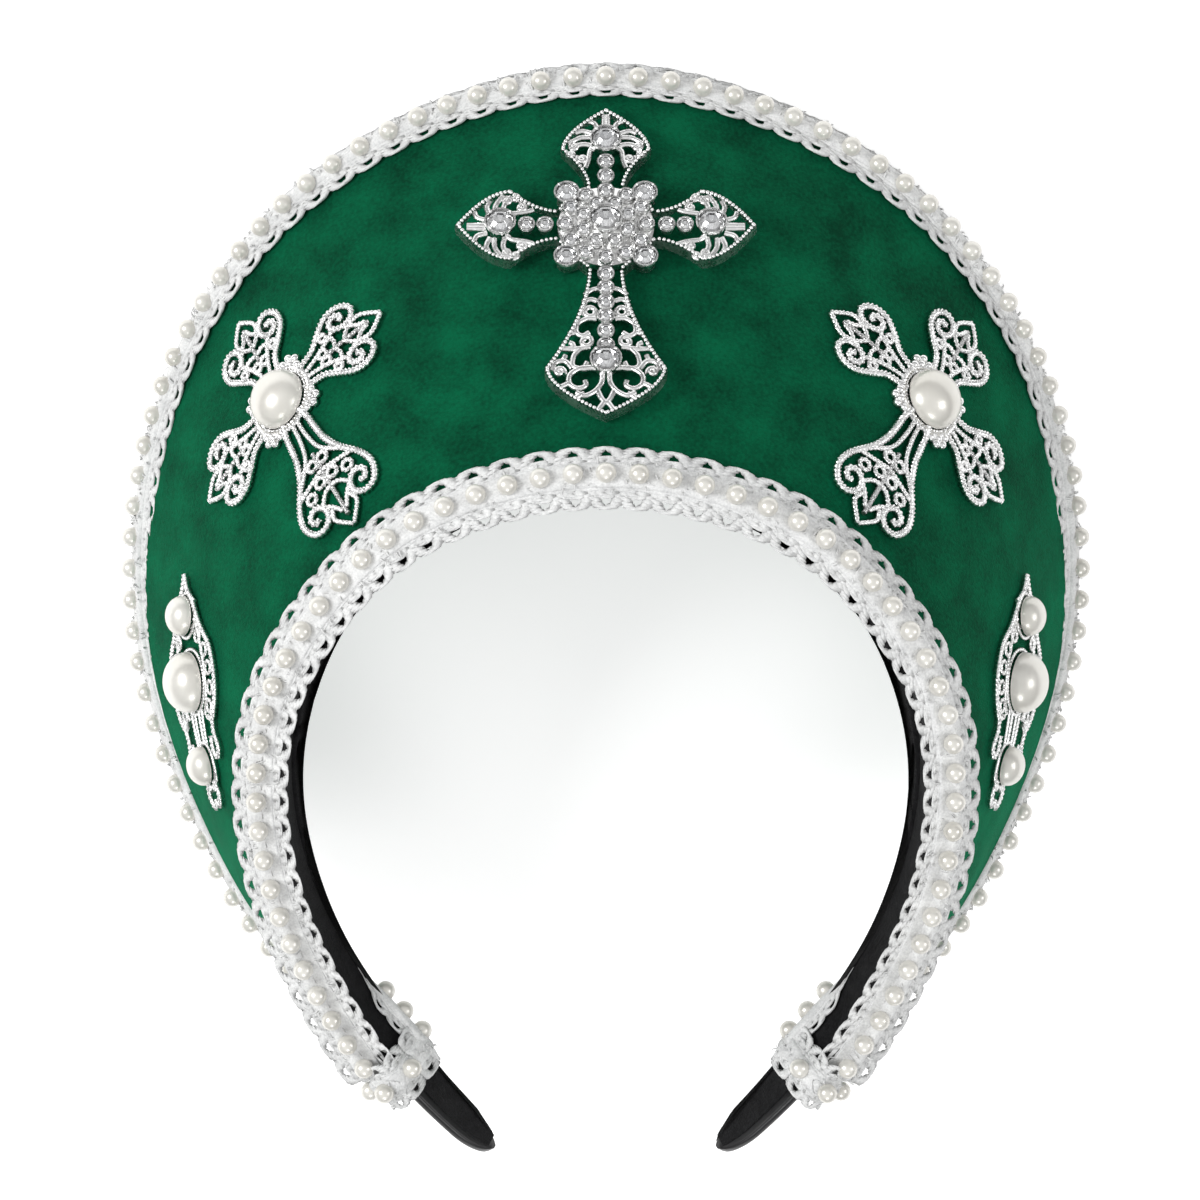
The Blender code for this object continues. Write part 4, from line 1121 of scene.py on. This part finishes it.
# %% Cups and prongs
CUP_SIDES, CUP_WIRE, CUP_FLOOR, CUP_FOOT, CUP_MOUTH = 18, 0.55, 0.9, 0.8, 1.04
CUP_RINGS = ((0.0, 1.06), (-0.6, 1.0))
PRONG_REACH, PRONG_LIFT, PRONG_LEAST, PRONG_SHARE = 0.98, 0.25, 0.16, 0.09
cups = []
for stone in STONES:
    turn = np.linspace(0, math.tau, CUP_SIDES + 1)[:-1]
    for lift, grow in CUP_RINGS:
        cups.append(np.column_stack([stone.x + np.cos(turn) * stone.radius * grow,
                                     stone.y + np.sin(turn) * stone.radius * grow,
                                     np.full(CUP_SIDES, stone.high + lift)]))
rings = tubes(cups, CUP_WIRE, 1, cyclic=True)
for stone in STONES:
    depth = stone.high - CUP_FLOOR
    bmesh.ops.create_cone(rings, cap_ends=False, segments=CUP_SIDES, radius1=CUP_FOOT * stone.radius,
                          depth=depth, radius2=CUP_MOUTH * stone.radius,
                          matrix=Matrix.Translation((stone.x, stone.y, CUP_FLOOR + depth / 2)))
finished("cross_cups", rings, "silver", ["centre_cross"], place=on_cross)
prongs = bmesh.new()
for stone in STONES:
    reach = stone.radius * PRONG_REACH
    for angle in np.radians((45, 135, 225, 315)):
        tip = (stone.x + reach * math.cos(angle), stone.y + reach * math.sin(angle), stone.high + PRONG_LIFT)
        bmesh.ops.create_icosphere(prongs, subdivisions=1, radius=PRONG_LEAST + PRONG_SHARE * stone.radius,
                                   matrix=Matrix.Translation(tip))
finished("cross_prongs", prongs, "silver", ["centre_cross"], place=on_cross)

# %% [markdown]
# ## Pressed filigree and half pearls
#
# The side ornaments are thin stamped plates that look like rope wire bent into scrolls. They are drawn
# as wires with fine ridges and draped on the cone. A half pearl in the middle hides the joint.

# %% Wires of the filigree crosses, along the arm and across it
SHORT_MAIN = (path([(6.0, 2.6), (9.0, 3.2), (11.4, 4.0), (14.0, 6.3), (17.2, 8.6), (20.6, 8.6), (22.8, 6.4),
                    (22.0, 4.0), (19.6, 3.3), (17.4, 4.5), (17.3, 6.4), (19.0, 7.2), (20.2, 6.0),
                    (19.2, 5.1)]),)
SHORT_FINE = (path([(20.6, 2.6), (23.0, 3.1), (24.8, 2.3), (27.5, 0.0)]),
              path([(7.4, 0.6), (11.0, 1.5), (14.6, 2.9), (17.4, 4.5)]),
              path([(15.8, 0.0), (16.4, 1.8), (16.0, 3.6)]),
              path([(18.2, 0.0), (19.4, 1.5), (20.6, 2.6)]), path([(20.6, 2.6), (22.0, 1.2), (24.0, 0.4)]),
              ring(12.9, 1.1, 1.05), path([(14.0, 0.0), (24.5, 0.0)]), ring(14.6, 4.6, 0.9))
LONG_MAIN = (path([(6.0, 2.6), (9.2, 3.3), (12.2, 3.5), (17.0, 4.1), (22.0, 6.0), (26.6, 8.8), (31.0, 9.9),
                   (34.8, 8.4), (35.6, 5.6), (33.6, 3.7), (31.0, 4.0), (29.6, 5.9), (30.8, 7.7),
                   (32.8, 7.1), (32.6, 5.8)]),)
LONG_FINE = (path([(33.4, 2.6), (35.6, 3.2), (37.2, 2.4), (40.2, 0.0)]),
             path([(7.4, 0.7), (13.0, 1.0), (18.0, 2.2), (22.4, 5.9)]),
             path([(22.9, 0.0), (23.8, 3.2), (24.8, 7.4)]), path([(27.9, 0.0), (28.6, 2.0), (31.0, 4.0)]),
             path([(31.0, 4.0), (32.6, 2.2), (35.6, 0.5)]), ring(20.4, 1.4, 1.25), ring(25.4, 1.7, 1.25),
             ring(27.0, 5.2, 1.2), path([(18.0, 0.0), (37.0, 0.0)]))
MAIN_WIRE, FINE_WIRE, PLATE_LIFT = 1.45, 1.12, 1.0
ROPE, ROPE_PITCH, THREAD, THREAD_PITCH = 0.26, 0.95, 0.24, 0.8
TREFOIL = ((8.2, 0.0), (8.0, 2.0), (8.0, -2.0), (9.5, 0.95), (9.5, -0.95))
TREFOIL_BEAD, PEARL_FOOT = 1.0, 1.7
OUTER_RING, INNER_RING, FINE_SINK, LARGE_PEARL = 7.5, 6.6, 0.1, 6.4

# %% A rope and a finer wire on one plate, and the half pearls
HALF_PEARL_SIDES, FOOT_DEPTH, FLATTENED = (40, 24), 0.12, 0.8


def pressed_wires(kind, side_name, main_lines, fine_lines, sizes, node, seat):
    """The ridged rope of a plate and the finer wire inside it, draped on the velvet."""
    rope = tubes(wire(main_lines, PLATE_LIFT, ROPE, ROPE_PITCH), sizes[0], 2)
    finished(f"{kind}_rope_{side_name}", rope, "silver", [node], place=seat.draped)
    thread = tubes(wire(fine_lines, PLATE_LIFT - FINE_SINK, THREAD, THREAD_PITCH), sizes[1], 1)
    finished(f"{kind}_scrolls_{side_name}", thread, "silver", [node], place=seat.draped)


def half_pearl(name, middle, normal, radius, node):
    """Half pearl with a rounded foot, from a sphere cut in half and flattened a little."""
    shell = bmesh.new()
    bmesh.ops.create_uvsphere(shell, u_segments=HALF_PEARL_SIDES[0], v_segments=HALF_PEARL_SIDES[1],
                              radius=radius)
    bmesh.ops.bisect_plane(shell, geom=shell.verts[:] + shell.edges[:] + shell.faces[:],
                           plane_co=(0, 0, -FOOT_DEPTH * radius), plane_no=(0, 0, -1), clear_outer=True)
    bmesh.ops.contextual_create(shell, geom=[line for line in shell.edges if line.is_boundary])
    bmesh.ops.scale(shell, vec=(1, 1, FLATTENED), verts=shell.verts)
    turn = Vector(normal).to_track_quat("Z", "Y").to_matrix().to_4x4()
    bmesh.ops.transform(shell, matrix=Matrix.Translation(middle) @ turn @ Matrix.Scale(MM, 4),
                        verts=shell.verts)
    finished(name, shell, "pearl", [node], smooth=50)


# %% Filigree crosses
for side, name in ((-1, "left"), (1, "right")):
    seat = Seat(side * FILIGREE_SHARE, FILIGREE_PART, -side * FILIGREE_TURN)
    main_lines, fine_lines = [ring(0, 0, OUTER_RING)], [ring(0, 0, INNER_RING)]
    balls = bmesh.new()
    for angle in (0, 90, 180, 270):
        long = angle == 270
        main_lines += [turned(line, angle) for line in both_sides(LONG_MAIN if long else SHORT_MAIN)]
        fine_lines += [turned(line, angle) for line in both_sides(LONG_FINE if long else SHORT_FINE)]
        for x, y in turned(np.array(TREFOIL), angle + 45):
            bmesh.ops.create_icosphere(balls, subdivisions=2, radius=TREFOIL_BEAD,
                                       matrix=Matrix.Translation((x, y, PLATE_LIFT)))
    node = "filigree_cross_" + name
    pressed_wires("filigree", name, main_lines, fine_lines, (MAIN_WIRE, FINE_WIRE), node, seat)
    finished(f"filigree_beads_{name}", balls, "silver", [node], place=seat.draped)
    foot, above = seat.flat(np.array([(0, 0, PEARL_FOOT + 0.5), (0, 0, PEARL_FOOT + 1.5)]))
    half_pearl(f"cross_half_pearl_{name}", foot, above - foot, LARGE_PEARL, "cross_pearl_" + name)

# %% Side brooches
BROOCH_MAIN = (path([(22.6, 0.0), (19.4, 1.2), (16.6, 3.6), (11.0, 7.0), (6.0, 11.2), (0.0, 12.8),
                     (-5.0, 12.0), (-8.8, 9.4), (-8.2, 6.6)]),
               path([(-7.0, 9.8), (-11.4, 8.8), (-15.0, 10.0), (-17.0, 8.6), (-15.6, 6.8), (-12.4, 6.6)]),
               path([(-21.4, 2.6), (-24.0, 3.6), (-26.4, 2.0), (-25.4, 0.3)]))
BROOCH_FINE = (path([(-6.2, 1.3), (-13.6, 1.3)]), path([(-6.4, 3.4), (-13.8, 3.0)]), ring(9.0, 5.4, 1.3),
               ring(5.6, 8.2, 1.3), ring(1.6, 9.7, 1.3), ring(-2.6, 9.8, 1.3), ring(-6.2, 8.2, 1.3),
               path([(12.6, 4.2), (8.0, 6.4), (2.0, 7.6), (-4.0, 7.2), (-7.6, 5.0)]),
               path([(19.0, 0.6), (16.4, 4.6)]), path([(11.2, 2.4), (12.0, 6.0)]),
               path([(-16.4, 4.6), (-20.6, 4.4), (-23.0, 1.0)]))
BROOCH_PEARLS = (("upper", 14.0, 4.2), ("middle", 0.0, LARGE_PEARL), ("lower", -17.6, 4.2))
BROOCH_WIRE, BROOCH_THREAD, PEARL_COLLAR = 1.15, 0.85, 0.45

for side, name in ((-1, "left"), (1, "right")):
    seat = Seat(side * BROOCH_SHARE, BROOCH_PART, BROOCH_TURN if side < 0 else math.pi - BROOCH_TURN)
    collars = [ring(along, 0.0, radius + PEARL_COLLAR) for _, along, radius in BROOCH_PEARLS]
    pressed_wires("brooch", name, both_sides(BROOCH_MAIN), both_sides(BROOCH_FINE) + collars,
                  (BROOCH_WIRE, BROOCH_THREAD), "side_brooch_" + name, seat)
    for spot, along, radius in BROOCH_PEARLS:
        foot, above = seat.draped(np.array([(along, 0, PEARL_FOOT + 0.3), (along, 0, PEARL_FOOT + 1.3)]))
        half_pearl(f"brooch_{spot}_pearl_{name}", foot, above - foot, radius, f"{spot}_pearl_{name}")
